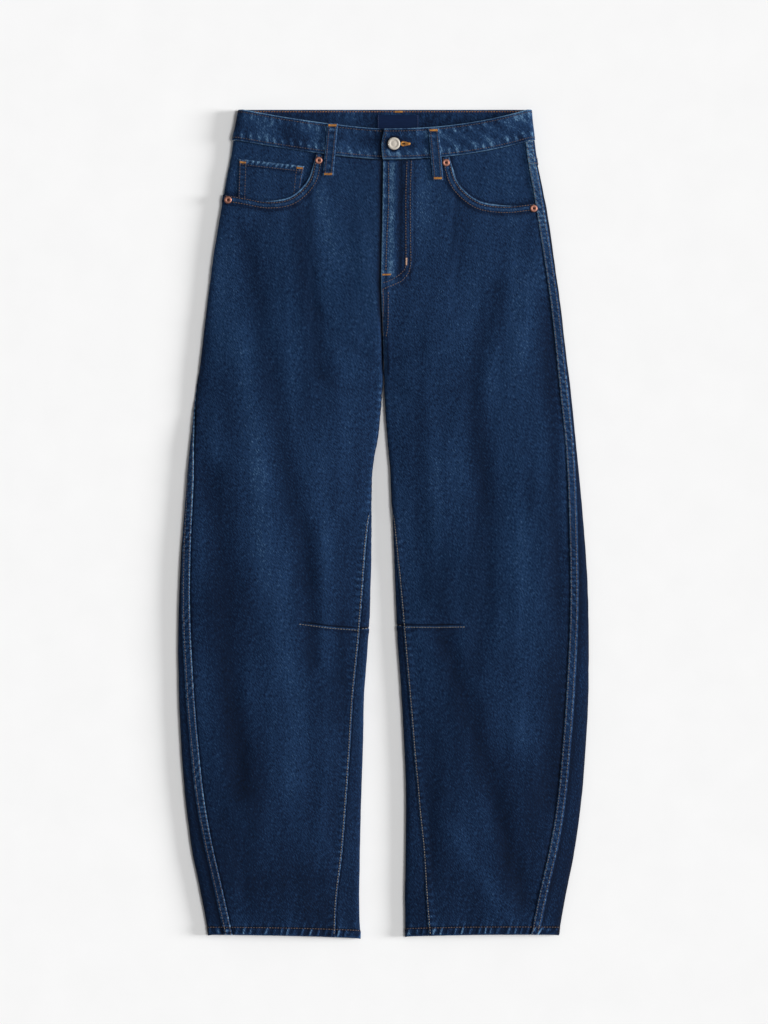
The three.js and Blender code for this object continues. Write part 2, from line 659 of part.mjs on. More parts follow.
function button() {
  const { radius, height, at } = BUTTON;
  const profile = [
    [0, 0],
    [radius * 0.45, 0],
    [radius * 0.5, height * 0.35],
    [radius * 0.95, height * 0.4],
    [radius, height * 0.62],
    [radius * 0.9, height],
    [radius * 0.62, height * 0.92],
    [radius * 0.45, height * 0.7],
    [0, height * 0.66],
  ];
  return fastener(profile, "front", at, BAND_PROUD + LAP.rise + SEAM_GAP);
}

function rivet({ at }) {
  const { radius, height } = RIVET;
  const profile = [
    [0, 0],
    [radius, 0],
    [radius, height * 0.3],
    [radius * 0.8, height],
    [radius * 0.45, height * 0.8],
    [0, height],
  ];
  return fastener(profile, "front", at, SEAM_GAP + 0.05);
}

const trousers = new THREE.Group();
const garment = new THREE.Group();
garment.position.y = -LENGTH / 2;
trousers.add(garment);

function add(name, geometry, look) {
  const mesh = new THREE.Mesh(geometry, new THREE.MeshStandardMaterial(COLOURS[look]));
  mesh.name = name;
  garment.add(mesh);
}

for (const side of SIDES) {
  add(`front_${side.name}`, frontPanel(side), "denim");
  add(`back_${side.name}`, backPanel(side), "denim");
  add(`back_yoke_${side.name}`, yokePanel(side), "denim");
  add(`back_pocket_${side.name}`, backPocket(side), "denim");
  add(`pocket_facing_${side.name}`, pocketFacing(side), "facing");
}
add("coin_pocket", coinPocket(), "denim");
add("fly_facing", flyFacing(), "facing");
add("zip", zipStrip(), "zip");
add("waistband", waistband(), "denim");
add("label", labelPatch(), "label");
for (const loop of LOOPS) add(`belt_loop_${loop.name}`, beltLoop(loop), "denim");
add("button", button(), "button");
for (const place of RIVETS) add(`rivet_${place.name}`, rivet(place), "rivet");

export default trousers;
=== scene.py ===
"""Dark indigo barrel leg trousers laid flat on white: the cloth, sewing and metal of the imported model.

Sizes are in millimetres and heights are measured from the hems, as in the model's own source. X runs
to the wearer's left, Y from the hems to the waist and Z up from the surface. `metres` turns places
into the shared frame.
"""

import logging
import math
from dataclasses import dataclass, field
from enum import Enum
from typing import Callable, Sequence

import bmesh
import bpy
import numpy as np
from mathutils import Matrix, Vector
from mathutils.bvhtree import BVHTree

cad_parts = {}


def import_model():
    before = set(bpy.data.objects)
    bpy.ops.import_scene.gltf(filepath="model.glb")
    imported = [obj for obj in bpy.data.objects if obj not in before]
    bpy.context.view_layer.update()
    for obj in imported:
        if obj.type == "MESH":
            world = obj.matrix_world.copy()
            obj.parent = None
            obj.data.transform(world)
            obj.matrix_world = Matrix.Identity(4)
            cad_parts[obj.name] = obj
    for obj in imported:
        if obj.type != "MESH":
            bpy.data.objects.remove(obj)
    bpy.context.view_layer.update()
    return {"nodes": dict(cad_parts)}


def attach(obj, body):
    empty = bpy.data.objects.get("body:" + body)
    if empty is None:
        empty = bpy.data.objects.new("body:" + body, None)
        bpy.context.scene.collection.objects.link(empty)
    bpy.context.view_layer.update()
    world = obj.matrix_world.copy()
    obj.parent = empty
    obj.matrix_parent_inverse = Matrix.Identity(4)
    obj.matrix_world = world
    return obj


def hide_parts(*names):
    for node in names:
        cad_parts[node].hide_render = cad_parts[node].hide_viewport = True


log = logging.getLogger("trousers")
Array = np.ndarray
Path = Sequence[tuple[float, float]]
Line = tuple[Array, Array]  # places and the outward normals there
Threads = tuple[Array, Array, Array, Array]  # places, headings, normals and sizes
Socket = bpy.types.NodeSocket
Tree = bpy.types.NodeTree

# Lengths of the garment
MM = 0.001
LENGTH = 1008.0
CROTCH = 684.0
BAND_HEIGHT = 37.5
BAND_FRONT_CENTRE = 947.0
BAND_SIDE = 970.5
BAND_CURVE = {-1: 1.35, 1: 2.2}  # how late the seam below the waistband climbs on each side
YOKE_SIDE = 941.0
YOKE_CENTRE = 905.0
HEM_DEPTH = 9.8
HEM_WAVE = 2.4

# Walls and gaps
DENIM = 1.0
HEM_WALL = 2.0
BAND_WALL = 2.6
BAND_PROUD = 0.8
SEAM_GAP = 0.3

# The laid form
FOLD_ROLL = 5.2
ROLL_SHARE = 0.15
SEAT_BLEND = 105.0
POCKET_LIFT = 1.5
LOOP_LIFT = 0.8

# Height, height of the folded edges, and how far the front swells above them
SECTIONS = (
    (0, 8.2, 3.4), (200, 9.0, 5.8), (450, 9.0, 6.6), (684, 9.0, 6.2), (900, 10.2, 5.0), (1008, 11.6, 4.4),
)
# Height, half width to the outer edge, to the right leg's inner edge and to the left leg's
OUTLINE = (
    (0, 213.5, 28.7, 26.3), (50, 222.7, 29.6, 25.6), (111, 234.9, 28.4, 26.8), (172, 242.2, 26.8, 27.0),
    (233, 247.0, 25.0, 24.6), (294, 250.0, 23.4, 21.8), (370, 250.7, 18.4, 16.4), (446, 248.3, 14.8, 13.2),
    (507, 244.0, 14.6, 11.0), (568, 238.4, 13.4, 8.2), (610, 234.2, 7.2, 4.2), (660, 228.8, 1.8, 0.8),
    (684, 226.0, 0.15, 0.15), (751, 218.2, 0.15, 0.15), (843, 205.6, 0.15, 0.15), (904, 195.8, 0.15, 0.15),
    (951, 187.0, 0.15, 0.15), (1008, 180.2, 0.15, 0.15),
)
# Height, and how far in from the folded edge the seam shows on the right leg and on the left leg
INSEAMS = (
    (0, 30.0, 29.0), (44, 27.3, 26.2), (105, 21.2, 21.0), (166, 18.0, 14.6), (288, 13.3, 9.3),
    (379, 10.4, 7.6), (459, 8.0, 3.6), (500, 4.0, 1.4), (532, 0.0, 0.0), (1008, 0.0, 0.0),
)
OUTSEAMS = (
    (0, 29.8, 34.2), (44, 28.2, 33.4), (105, 26.6, 32.0), (166, 23.2, 29.6), (227, 21.4, 28.8),
    (312, 18.4, 26.6), (410, 13.8, 22.2), (471, 11.6, 19.8), (556, 8.0, 15.0), (605, 3.6, 13.2),
    (654, 0.0, 13.2), (776, 0.0, 11.8), (873, 0.0, 12.6), (1008, 0.0, 11.2),
)
# The edge of each front pocket mouth, from the waistband to the side
POCKET_MOUTHS = {
    "right": ((-81, 968), (-84, 950), (-91, 922), (-112, 901.5), (-140, 896.5), (-170, 901.5), (-206, 907.5)),
    "left": ((79, 966), (82, 945), (91, 917.5), (115, 896.5), (146, 891), (175, 893.5), (208, 898)),
}
KNEE_DARTS = {
    "right": ((-16.6, 375.5), (-28.2, 374.7), (-66, 377.5), (-103, 382.5)),
    "left": ((16, 378.6), (23.8, 378.6), (62, 378.4), (99.4, 379)),
}
COIN_POCKET = ((-176.4, 948), (-96.7, 939), (-103, 890), (-178, 890))
BACK_POCKET = {
    "top": 876, "inner": (30, 36), "outer": (172, 165),
    "shoulder": 772, "point": (100, 750), "size": (136, 108),
}
LABEL = {"left": -8, "right": 43, "bottom": 973, "top": 1002}
FLY = {"width": 34, "bottom": 792, "corner": 34, "rise": 0.9}
LAP = {"over": -0.05, "under": 36, "full": 38, "level": 54, "rise": 1.55}
LOOPS = (
    ("front_right", "front", (-62, 991), (-67.7, 927)),
    ("front_left", "front", (60.8, 985), (66.5, 922)),
    ("side_right", "back", (-118, 1006.5), (-121, 942)),
    ("side_left", "back", (118, 1006.5), (121, 942)),
    ("back", "back", (18, 1006.5), (18, 942)),
)
BUTTON_AT = (12.8, 966.3)
RIVETS = (
    ("right_inner", (-79.0, 946.0)), ("right_outer", (-189.6, 898.0)),
    ("left_inner", (76.2, 943.2)), ("left_outer", (183.2, 887.6)),
)

FACING_FOOT = 868.0
FACING_START = 0.385  # g of the facing's inner edge
FACING_TUCK = 12.0  # how far the facing reaches under the pocket mouth

# The camera looks straight down, and the photograph is 768 by 1024 at 1.22 mm a pixel
FRAME_HEIGHT = 1024 * 1.22
CAMERA_AT = (0.6, 13.3, 9000.0)
CLOTH_HEIGHT = 10.0
SENSOR = 36.0


def smooth(start: float, end: float, at: Array) -> Array:
    """Return 0 before start, 1 after end and a soft step between them."""
    t = np.clip((np.asarray(at, float) - start) / (end - start), 0, 1)
    return t * t * (3 - 2 * t)


def mix(low: Array, high: Array, share: Array) -> Array:
    """Return the value at a share of the way from low to high."""
    return low + (high - low) * share


def bump(away: Array, width: float) -> Array:
    """Return a soft hump of height 1, with its slopes at width from the middle."""
    return np.exp(-((away / width) ** 2))


def distance_to(path: Path, x: Array, y: Array) -> Array:
    """Return each point's distance from a path of straight stretches.

    Args:
        path: The path's points.
        x: Distances to the wearer's left.
        y: Heights from the hems.

    Returns:
        The distances.
    """
    nearest = np.full(np.shape(x), np.inf)
    for (x0, y0), (x1, y1) in zip(path, path[1:]):
        run, climb = x1 - x0, y1 - y0
        along = np.clip(((x - x0) * run + (y - y0) * climb) / (run**2 + climb**2), 0, 1)
        nearest = np.minimum(nearest, np.hypot(x - x0 - along * run, y - y0 - along * climb))
    return nearest


def lengths(line: Array) -> Array:
    """Return how far along a line each of its points lies."""
    return np.concatenate([[0], np.cumsum(np.linalg.norm(np.diff(line, axis=0), axis=1))])


def sample(at: Array, along: Array, values: Array) -> Array:
    """Return a table's rows at distances along it, worked out from those on either side."""
    return np.stack([np.interp(at, along, column) for column in values.T], axis=-1)


def rounded_path(points: Path, steps: int = 8) -> Array:
    """Return a path that runs smoothly through a few points, as the model's pocket mouths do.

    Args:
        points: The points that it passes.
        steps: How many stretches lie between each two.

    Returns:
        The path as an array of points.
    """
    knots = np.array([points[0], *points, points[-1]], float)
    out = []
    for a, b, c, d in zip(knots, knots[1:], knots[2:], knots[3:]):
        for t in np.arange(steps) / steps:
            v0, v1 = (c - a) / 2, (d - b) / 2
            out.append((2 * b - 2 * c + v0 + v1) * t**3 + (3 * c - 3 * b - 2 * v0 - v1) * t**2 + v0 * t + b)
    return np.array([*out, knots[-1]])


def unit_grid(rows: int, columns: int) -> tuple[Array, Array]:
    """Return the shares of a grid's height and width at each of its places."""
    return np.meshgrid(np.linspace(0, 1, rows), np.linspace(0, 1, columns), indexing="ij")


def metres(places: Array) -> Array:
    """Turn places in millimetres from the hems into the shared frame."""
    return (np.asarray(places, float) - (0, LENGTH / 2, 0)) * MM


def linear(hex_colour: str) -> tuple[float, float, float, float]:
    """Turn an sRGB hex colour into the linear one that a shader takes."""
    parts = [int(hex_colour[i : i + 2], 16) / 255 for i in (1, 3, 5)]
    return (*[c / 12.92 if c <= 0.04045 else ((c + 0.055) / 1.055) ** 2.4 for c in parts], 1.0)


class Side(Enum):
    """The two halves of the garment, each with the sign of its X."""

    RIGHT = -1
    LEFT = 1

    @property
    def word(self) -> str:
        """The side as it stands in the nodes' names."""
        return self.name.lower()


class Layer(Enum):
    """The two layers that lie on each other."""

    FRONT = 0
    BACK = 1


@dataclass(frozen=True)
class Curve:
    """A smooth curve through one column of a table whose first column is the height."""

    table: tuple[tuple[float, ...], ...]
    column: int = 1

    def __call__(self, y: Array) -> Array:
        """Return the value at each height.

        Args:
            y: Heights from the hems.

        Returns:
            The values.
        """
        heights = np.array([row[0] for row in self.table], float)
        values = np.array([row[self.column] for row in self.table], float)
        last = len(heights) - 1
        ahead, behind = np.minimum(np.arange(last + 1) + 1, last), np.maximum(np.arange(last + 1) - 1, 0)
        slopes = (values[ahead] - values[behind]) / (heights[ahead] - heights[behind])
        at = np.clip(y, heights[0], heights[-1])
        high = np.clip(np.searchsorted(heights, at), 1, last)
        low = high - 1
        span = heights[high] - heights[low]
        t = (at - heights[low]) / span
        start = (2 * t**3 - 3 * t**2 + 1) * values[low] + (t**3 - 2 * t**2 + t) * span * slopes[low]
        return start + (3 * t**2 - 2 * t**3) * values[high] + (t**3 - t**2) * span * slopes[high]


@dataclass(frozen=True)
class Crease:
    """A soft trough in the laid cloth, or a ridge where its depth is negative."""

    width: float
    depth: float
    path: Path

    def height(self, x: Array, y: Array) -> Array:
        """Return how far it lifts each point, less than 0 in a trough."""
        return -self.depth * bump(distance_to(self.path, x, y), self.width)


def creased(creases: Sequence[Crease], x: Array, y: Array) -> Array:
    """Return how far some creases lift each point together."""
    return sum(crease.height(x, y) for crease in creases)


# Width, depth and path of the largest folds, which the model's solids have too
MAIN_FOLDS = tuple(Crease(*row) for row in (
    (15, 1.2, ((-169, 855), (-138, 690), (-112, 544), (-96, 440))),
    (17, 1.7, ((-206, 560), (-197, 410), (-185, 288), (-175, 178))),
    (22, -0.8, ((-150, 556), (-136, 380), (-114, 190))),
    (13, 0.9, ((-102, 880), (-78, 690))),
    (13, 1.1, ((-96, 495), (-87, 337))),
    (15, 1.3, ((136, 788), (106, 678), (120, 532), (125, 410), (114, 330))),
    (13, 1.3, ((200, 776), (207, 593), (214, 459), (214, 349), (200, 166))),
    (14, 1.4, ((75, 361), (106, 270), (154, 93), (172, 45))),
    (14, -0.9, ((81, 129), (150, 25))),
))
# Smaller ones of uneven length, depth and spacing that only the dressed cloth has
FRONT_CREASES = tuple(Crease(*row) for row in (
    (11, 0.45, ((-41, 892), (-43, 840), (-38, 788))),
    (14, 0.7, ((-222, 800), (-230, 690), (-228, 605), (-214, 540))),
    (10, 0.55, ((-46, 505), (-52, 420), (-53, 312))),
    (14, -0.55, ((-178, 735), (-160, 620), (-146, 483))),
    (9, -0.5, ((-72, 488), (-70, 400), (-73, 331))),
    (13, 0.5, ((-165, 62), (-120, 70), (-78, 72))),
    (8, 0.4, ((-196, 150), (-176, 96), (-168, 40))),
    (9, -0.4, ((-60, 250), (-76, 150), (-70, 60))),
    (7, 0.45, ((-8, 700), (-46, 722), (-86, 768))),
    (6, 0.35, ((-12, 672), (-52, 664), (-90, 690))),
    (15, -0.55, ((168, 735), (166, 560), (166, 422), (160, 239))),
    (11, -0.5, ((57, 735), (60, 600), (64, 483))),
    (10, 0.45, ((40, 640), (38, 520), (46, 420))),
    (9, 0.4, ((150, 860), (152, 800), (142, 740))),
    (8, 0.4, ((60, 240), (52, 150), (62, 70))),
    (7, 0.45, ((8, 700), (44, 716), (92, 764))),
    (6, 0.3, ((14, 668), (50, 652), (96, 668))),
    (12, 0.4, ((232, 560), (238, 420), (232, 260), (222, 140))),
))
BACK_CREASES = tuple(Crease(*row) for row in (
    (14, 0.9, ((-160, 640), (-128, 520), (-120, 400), (-138, 300))),
    (12, 0.8, ((-70, 600), (-84, 470), (-76, 350))),
    (15, 0.7, ((-200, 300), (-170, 200), (-150, 90))),
    (9, 0.7, ((-14, 672), (-70, 690), (-130, 720))),
    (14, 0.9, ((172, 620), (140, 500), (134, 390), (150, 280))),
    (12, 0.8, ((62, 610), (80, 480), (70, 340))),
    (13, 0.7, ((96, 240), (130, 150), (140, 60))),
    (9, 0.7, ((12, 668), (66, 684), (120, 712))),
    (8, 0.5, ((-30, 652), (-80, 640), (-120, 660))),
    (8, 0.5, ((28, 650), (74, 634), (118, 652))),
))


@dataclass(frozen=True)
class Ripples:
    """The faint unevenness of pressed cloth: soft waves of many lengths and headings."""

    seed: int
    height: float
    shortest: float = 24.0
    longest: float = 90.0
    stretch: float = 2.2  # how much longer the waves are down the leg than across it
    count: int = 22

    def __call__(self, u: Array, v: Array) -> Array:
        """Return the height in millimetres at distances across and along the cloth.

        Args:
            u: Distances across the cloth.
            v: Distances along it.

        Returns:
            The heights.
        """
        draw = np.random.default_rng(self.seed)
        total = np.zeros(np.shape(u))
        for _ in range(self.count):
            length = math.exp(draw.uniform(math.log(self.shortest), math.log(self.longest)))
            heading, phase = draw.uniform(0, 2 * math.pi, 2)
            wave = u * math.cos(heading) + v * math.sin(heading) / self.stretch
            total += math.sqrt(length / self.longest) * np.sin(2 * math.pi * wave / length + phase)
        return self.height * total / math.sqrt(self.count / 2)


@dataclass(frozen=True)
class Section:
    """The legs' cross-sections at an array of heights."""

    sign: Array
    y: Array
    outer: Array
    inner: Array
    fold: Array
    lift: Array
    swell: Array
    seat: Array
    seat_below: Array


@dataclass(frozen=True)
class LaidForm:
    """The shape that every piece of the garment is laid on, as the model's source works it out.

    A leg's ring is measured by g: 0 to 1 over the front from the inner edge, or the centre front, to
    the outer edge, 1 to 2 back under it, and past 2 on the front again.
    """

    fold: Curve = Curve(SECTIONS, 1)
    swell: Curve = Curve(SECTIONS, 2)
    outer: Curve = Curve(OUTLINE, 1)
    right_inner: Curve = Curve(OUTLINE, 2)
    left_inner: Curve = Curve(OUTLINE, 3)

    def section(self, sign: Array, y: Array) -> Section:
        """Return the cross-sections on the side of each sign at each height.

        Args:
            sign: -1 on the right half, 1 on the left.
            y: Heights from the hems.

        Returns:
            The cross-sections.
        """
        sign, y = np.broadcast_arrays(np.asarray(sign, float), np.asarray(y, float))
        inner = np.maximum(np.where(sign < 0, self.right_inner(y), self.left_inner(y)), SEAM_GAP / 2)
        lift = POCKET_LIFT * smooth(CROTCH, CROTCH + 62, y)
        lift = lift + LOOP_LIFT * smooth(YOKE_CENTRE - 28, YOKE_CENTRE, y)
        return Section(
            sign, y, self.outer(y), inner, self.fold(y), lift, self.swell(y),
            smooth(CROTCH, CROTCH + SEAT_BLEND, y), smooth(CROTCH, CROTCH + SEAT_BLEND / 2, y),
        )

    def across(self, s: Section, f: Array) -> Array:
        """Return the distance from the centre line at share f of a layer.

        Args:
            s: The cross-sections.
            f: Shares of the layer, from its inner edge.

        Returns:
            The distances.
        """
        turn = f / ROLL_SHARE
        at_inner = s.inner + FOLD_ROLL * mix(1 - np.cos(turn * math.pi / 2), turn, s.seat)
        at_outer = s.outer - FOLD_ROLL * (1 - np.cos((1 - f) / ROLL_SHARE * math.pi / 2))
        between = mix(s.inner + FOLD_ROLL, s.outer - FOLD_ROLL, (f - ROLL_SHARE) / (1 - 2 * ROLL_SHARE))
        return np.where(f < ROLL_SHARE, at_inner, np.where(f > 1 - ROLL_SHARE, at_outer, between))

    def share(self, s: Section, across: Array) -> Array:
        """Return the share of a layer at a distance from the centre line.

        Args:
            s: The cross-sections.
            across: Distances from the centre line.

        Returns:
            The shares.
        """
        from_outer, from_inner = np.maximum(s.outer - across, 0), np.maximum(across - s.inner, 0)
        rolled = np.arccos(np.clip(1 - from_outer / FOLD_ROLL, -1, 1)) / (math.pi / 2)
        turned = np.arccos(np.clip(1 - from_inner / FOLD_ROLL, -1, 1)) / (math.pi / 2)
        even = (from_inner - FOLD_ROLL) / (s.outer - s.inner - 2 * FOLD_ROLL)
        at_inner = ROLL_SHARE * mix(turned, from_inner / FOLD_ROLL, s.seat)
        inward = np.where(from_inner < FOLD_ROLL, at_inner, ROLL_SHARE + (1 - 2 * ROLL_SHARE) * even)
        return np.where(from_outer < FOLD_ROLL, 1 - ROLL_SHARE * rolled, inward)

    def front_level(self, s: Section, across: Array) -> Array:
        """Return the front layer's height where it isn't rolled.

        Args:
            s: The cross-sections.
            across: Distances from the centre line.

        Returns:
            The heights in millimetres.
        """
        share = np.clip((across - s.inner) / (s.outer - s.inner), 0, 1)
        domed = mix(1 - np.abs(2 * share - 1) ** 2.6, 1 - share**3, s.seat)
        return s.fold + s.swell * domed + creased(MAIN_FOLDS, s.sign * across, s.y)

    def point(self, sign: Array, y: Array, g: Array) -> Array:
        """Return the places on the laid shape's outer face, in millimetres.

        Args:
            sign: -1 on the right half, 1 on the left.
            y: Heights from the hems.
            g: Places round the leg's ring.

        Returns:
            The places.
        """
        g = np.asarray(g, float)
        s = self.section(np.broadcast_to(sign, g.shape), np.broadcast_to(y, g.shape))
        again = (g > 2) & (s.y < CROTCH)
        front = (g <= 1) | again
        f = np.where(again, g - 2, np.where(g <= 1, g, 2 - g))
        across = self.across(s, f)
        mid = (s.fold + s.lift) / 2
        level = np.where(front, self.front_level(s, across), s.lift)
        opened = np.where(front, self.front_level(s, s.inner), s.lift)
        centre = mix(mid, opened, np.where(front, s.seat, s.seat_below))
        inner_roll = mix(centre, level, np.sin(np.minimum(f / ROLL_SHARE, 1) * math.pi / 2))
        outer_roll = mix(mid, level, np.sin(np.clip((1 - f) / ROLL_SHARE, 0, 1) * math.pi / 2))
        z = np.where(f < ROLL_SHARE, inner_roll, np.where(f > 1 - ROLL_SHARE, outer_roll, level))
        return np.stack([s.sign * across, s.y, z], axis=-1)

    def normal(self, sign: Array, y: Array, g: Array) -> Array:
        """Return the outward normals of the laid shape.

        Args:
            sign: -1 on the right half, 1 on the left.
            y: Heights from the hems.
            g: Places round the leg's ring.

        Returns:
            The normals, of length 1.
        """
        along = self.point(sign, y, g + 0.004) - self.point(sign, y, g - 0.004)
        up = self.point(sign, np.asarray(y) + 1, g) - self.point(sign, np.asarray(y) - 1, g)
        normal = np.cross(along, up) * np.broadcast_to(sign, g.shape)[..., None]
        return normal / np.linalg.norm(normal, axis=-1, keepdims=True)

    def lay(self, layer: Layer, x: Array, y: Array, lift: Array = 0.0) -> tuple[Array, Array]:
        """Return places over or under points of a layer, and the normals there.

        Args:
            layer: The front or the back layer.
            x: Distances to the wearer's left.
            y: Heights from the hems.
            lift: How far outside the layer's outer face the places are.

        Returns:
            The places in millimetres and the outward normals.
        """
        x, y = np.broadcast_arrays(np.asarray(x, float), np.asarray(y, float))
        sign = np.where(x < 0, -1.0, 1.0)
        share = self.share(self.section(sign, y), np.abs(x))
        g = share if layer is Layer.FRONT else 2 - share
        normal = self.normal(sign, y, g)
        return self.point(sign, y, g) + normal * np.broadcast_to(lift, x.shape)[..., None], normal

    def inseam(self, side: Side, y: Array) -> Array:
        """Return g at the inseam, 0 where it lies in the fold.

        Args:
            side: The half of the garment.
            y: Heights from the hems.

        Returns:
            The values of g.
        """
        s = self.section(side.value, y)
        inset = np.maximum(Curve(INSEAMS, 1 if side is Side.RIGHT else 2)(s.y), 0)
        return np.where(inset > 0.05, self.share(s, s.inner + inset), 0)

    def outseam(self, side: Side, y: Array) -> Array:
        """Return g at the outseam, which on the right passes just round the fold above the knee.

        Args:
            side: The half of the garment.
            y: Heights from the hems.

        Returns:
            The values of g.
        """
        s = self.section(side.value, y)
        inset = np.maximum(Curve(OUTSEAMS, 1 if side is Side.RIGHT else 2)(s.y), 0)
        share = np.where(inset > 0.05, self.share(s, s.outer - inset), 1)
        return share + (0.05 * smooth(640, 720, s.y) if side is Side.RIGHT else 0)

    def band_bottom(self, g: Array, sign: Array) -> Array:
        """Return the height of the waistband's lower edge on the side of each sign.

        Args:
            g: Places round the leg's ring.
            sign: -1 on the right half, 1 on the left.

        Returns:
            The heights.
        """
        waist = Section(1, 1000, 186.0, 0.0, 0, 0, 0, 1, 1)
        to_side = np.where(g > 1, 1, np.abs(self.across(waist, np.asarray(g, float))) / (186 - FOLD_ROLL))
        late = np.where(np.asarray(sign) < 0, BAND_CURVE[-1], BAND_CURVE[1])
        return mix(BAND_FRONT_CENTRE, BAND_SIDE, np.clip(to_side, 0, 1) ** late)

    def yoke_seam(self, g: Array) -> Array:
        """Return the height of the seam between a back and its yoke."""
        return mix(YOKE_SIDE, YOKE_CENTRE, smooth(0.9, 2, g))

    def hem_line(self, g: Array) -> Array:
        """Return how far the hem's edge rises between its folds."""
        f = np.where(g > 2, g - 2, np.where(g <= 1, g, 2 - g))
        return HEM_WAVE * np.sin(math.pi * np.clip(f, 0, 1)) ** 0.7

    def fly_rise(self, x: Array, y: Array) -> Array:
        """Return how far the fly's second layer raises the left front.

        Args:
            x: Distances to the wearer's left.
            y: Heights from the hems.

        Returns:
            The rise in millimetres.
        """
        turn = FLY["bottom"] + FLY["corner"]
        reach = np.where(y > turn, x, np.hypot(x, (turn - y) * FLY["width"] / FLY["corner"]))
        return FLY["rise"] * (1 - smooth(FLY["width"] - 5, FLY["width"] + 9, reach)) * (x > 0)


FORM = LaidForm()


def wavering(at: Array, period: float, seed: int) -> Array:
    """Return an uneven ripple, such as the puckers beside a seam.

    Args:
        at: Distances along the seam.
        period: The ripple's usual length.
        seed: Sets where it quickens and slows.

    Returns:
        Values from -1 to 1.
    """
    drift = Ripples(seed, 1.1, shortest=60, longest=260, stretch=1, count=5)
    swing = Ripples(seed + 1, 0.35, shortest=40, longest=150, stretch=1, count=5)
    return np.sin(2 * math.pi * at / period + drift(at, at * 0)) * (0.65 + swing(at, at * 0))


def put(name: str, data: bpy.types.ID) -> bpy.types.Object:
    """Put a mesh, light or camera in the scene as an object at the origin.

    Args:
        name: The object's or mesh's name.
        data: The mesh, light or camera.

    Returns:
        The object.
    """
    made = bpy.data.objects.new(name, data)
    bpy.context.scene.collection.objects.link(made)
    return made


def to_mesh(shape: bmesh.types.BMesh, name: str) -> bpy.types.Mesh:
    """Turn a shape into a smooth mesh, and let the shape go.

    Args:
        shape: The shape, which is freed.
        name: The object's or mesh's name.

    Returns:
        The mesh.
    """
    mesh = bpy.data.meshes.new(name)
    shape.to_mesh(mesh)
    shape.free()
    mesh.shade_smooth()
    return mesh


@dataclass
class Grid:
    """A stretch of cloth as rows and columns of places, with what its material and sewing need.

    Attributes:
        name: The piece's name.
        places: Rows by columns of places in millimetres.
        normals: The laid shape's outward normals there.
        flat: Distances across and along the flat cloth in millimetres.
        wear: Wear and painted shade, from -1, deep and dark, to 1, worn light; its dark end holds painted
            shade beside seams, in creases and under edges.
        wall: The cloth's thickness at each place.
        flip: Whether the rows and columns run the other way about.
        closed: Whether the columns run right round and meet.
    """

    name: str
    places: Array
    normals: Array
    flat: Array
    wear: Array
    wall: Array | float = DENIM
    flip: bool = False
    closed: bool = False
    tree: BVHTree | None = field(default=None, repr=False)

    def build(self) -> bpy.types.Object:
        """Lay an even grid on the worked-out places and give it the cloth's thickness.

        Returns:
            The piece.
        """
        rows, columns = self.places.shape[:2]
        shape = bmesh.new()
        bmesh.ops.create_grid(shape, x_segments=columns - 1, y_segments=rows - 1, size=0.5)
        mesh = to_mesh(shape, self.name)
        spots = np.empty(len(mesh.vertices) * 3)
        mesh.vertices.foreach_get("co", spots)
        spots = spots.reshape(-1, 3)
        column = np.rint((spots[:, 0] + 0.5) * (columns - 1)).astype(int)
        row = np.rint((spots[:, 1] + 0.5) * (rows - 1)).astype(int)
        mesh.vertices.foreach_set("co", metres(self.places[row, column]).ravel())
        # this colour layer holds the cloth's wear and painted shade together
        for layer, values in (("wear", self.wear), ("fade", fade_at(self.places[..., 1]))):
            mesh.attributes.new(layer, "FLOAT", "POINT").data.foreach_set("value", values[row, column])
        corner = np.empty(len(mesh.loops), int)
        mesh.loops.foreach_get("vertex_index", corner)
        cloth = self.flat[row, column][corner] * MM
        mesh.uv_layers.new(name="cloth").data.foreach_set("uv", cloth.ravel())
        if self.flip:
            mesh.flip_normals()
        if self.closed:
            self.close(mesh)
        mesh.shade_smooth()
        made = put(self.name, mesh)
        if not self.closed:
            self.thicken(made, row, column)
        return made

    def close(self, mesh: bpy.types.Mesh) -> None:
        """Sew the first column to the last one and fill the two ends.

        Args:
            mesh: The piece's mesh.
        """
        shape = bmesh.new()
        shape.from_mesh(mesh)
        bmesh.ops.remove_doubles(shape, verts=shape.verts, dist=1e-6)
        ends = [edge for edge in shape.edges if edge.is_boundary]
        bmesh.ops.holes_fill(shape, edges=ends, sides=0)
        bmesh.ops.recalc_face_normals(shape, faces=shape.faces)
        shape.to_mesh(mesh)
        shape.free()

    def thicken(self, made: bpy.types.Object, row: Array, column: Array) -> None:
        """Give the cloth its wall, on the inside of the outer face.

        Args:
            made: The piece.
            row: Each vertex's row.
            column: Each vertex's column.
        """
        wall = np.broadcast_to(self.wall, self.places.shape[:2])[row, column]
        most = float(wall.max())
        group = made.vertex_groups.new(name="wall")
        for weight in np.unique(np.round(wall / most, 2)):
            inside = np.nonzero(np.round(wall / most, 2) == weight)[0]
            group.add(inside.tolist(), float(weight), "REPLACE")
        thickness = made.modifiers.new("wall", "SOLIDIFY")
        thickness.thickness = most * MM
        thickness.offset = -1
        thickness.vertex_group = "wall"

    def part(self, rows: slice, columns: slice, turn: int = 1) -> "Grid":
        """Return some of its rows and columns, for sewing; turn is -1 where the other face is outermost."""
        places, normals = self.places[rows, columns], self.normals[rows, columns]
        return Grid(self.name, places, turn * normals, self.flat, self.wear)

    def surface(self) -> BVHTree:
        """Return the outer face as a tree that rays can meet.

        Returns:
            The tree, which is made once.
        """
        if self.tree is None:
            rows, columns = self.places.shape[:2]
            first = (np.arange(rows - 1)[:, None] * columns + np.arange(columns - 1)).ravel()
            quads = np.stack([first, first + 1, first + columns + 1, first + columns], axis=1)
            self.tree = BVHTree.FromPolygons(self.places.reshape(-1, 3).tolist(), quads.tolist())
        return self.tree


FADE = Curve(((0, 0.10), (120, 0.22), (330, 0.42), (560, 0.62), (800, 0.68), (1008, 0.70)))


def fade_at(y: Array) -> Array:
    """Return how far the dye has faded: least at the shins and most at the hips."""
    return FADE(y)


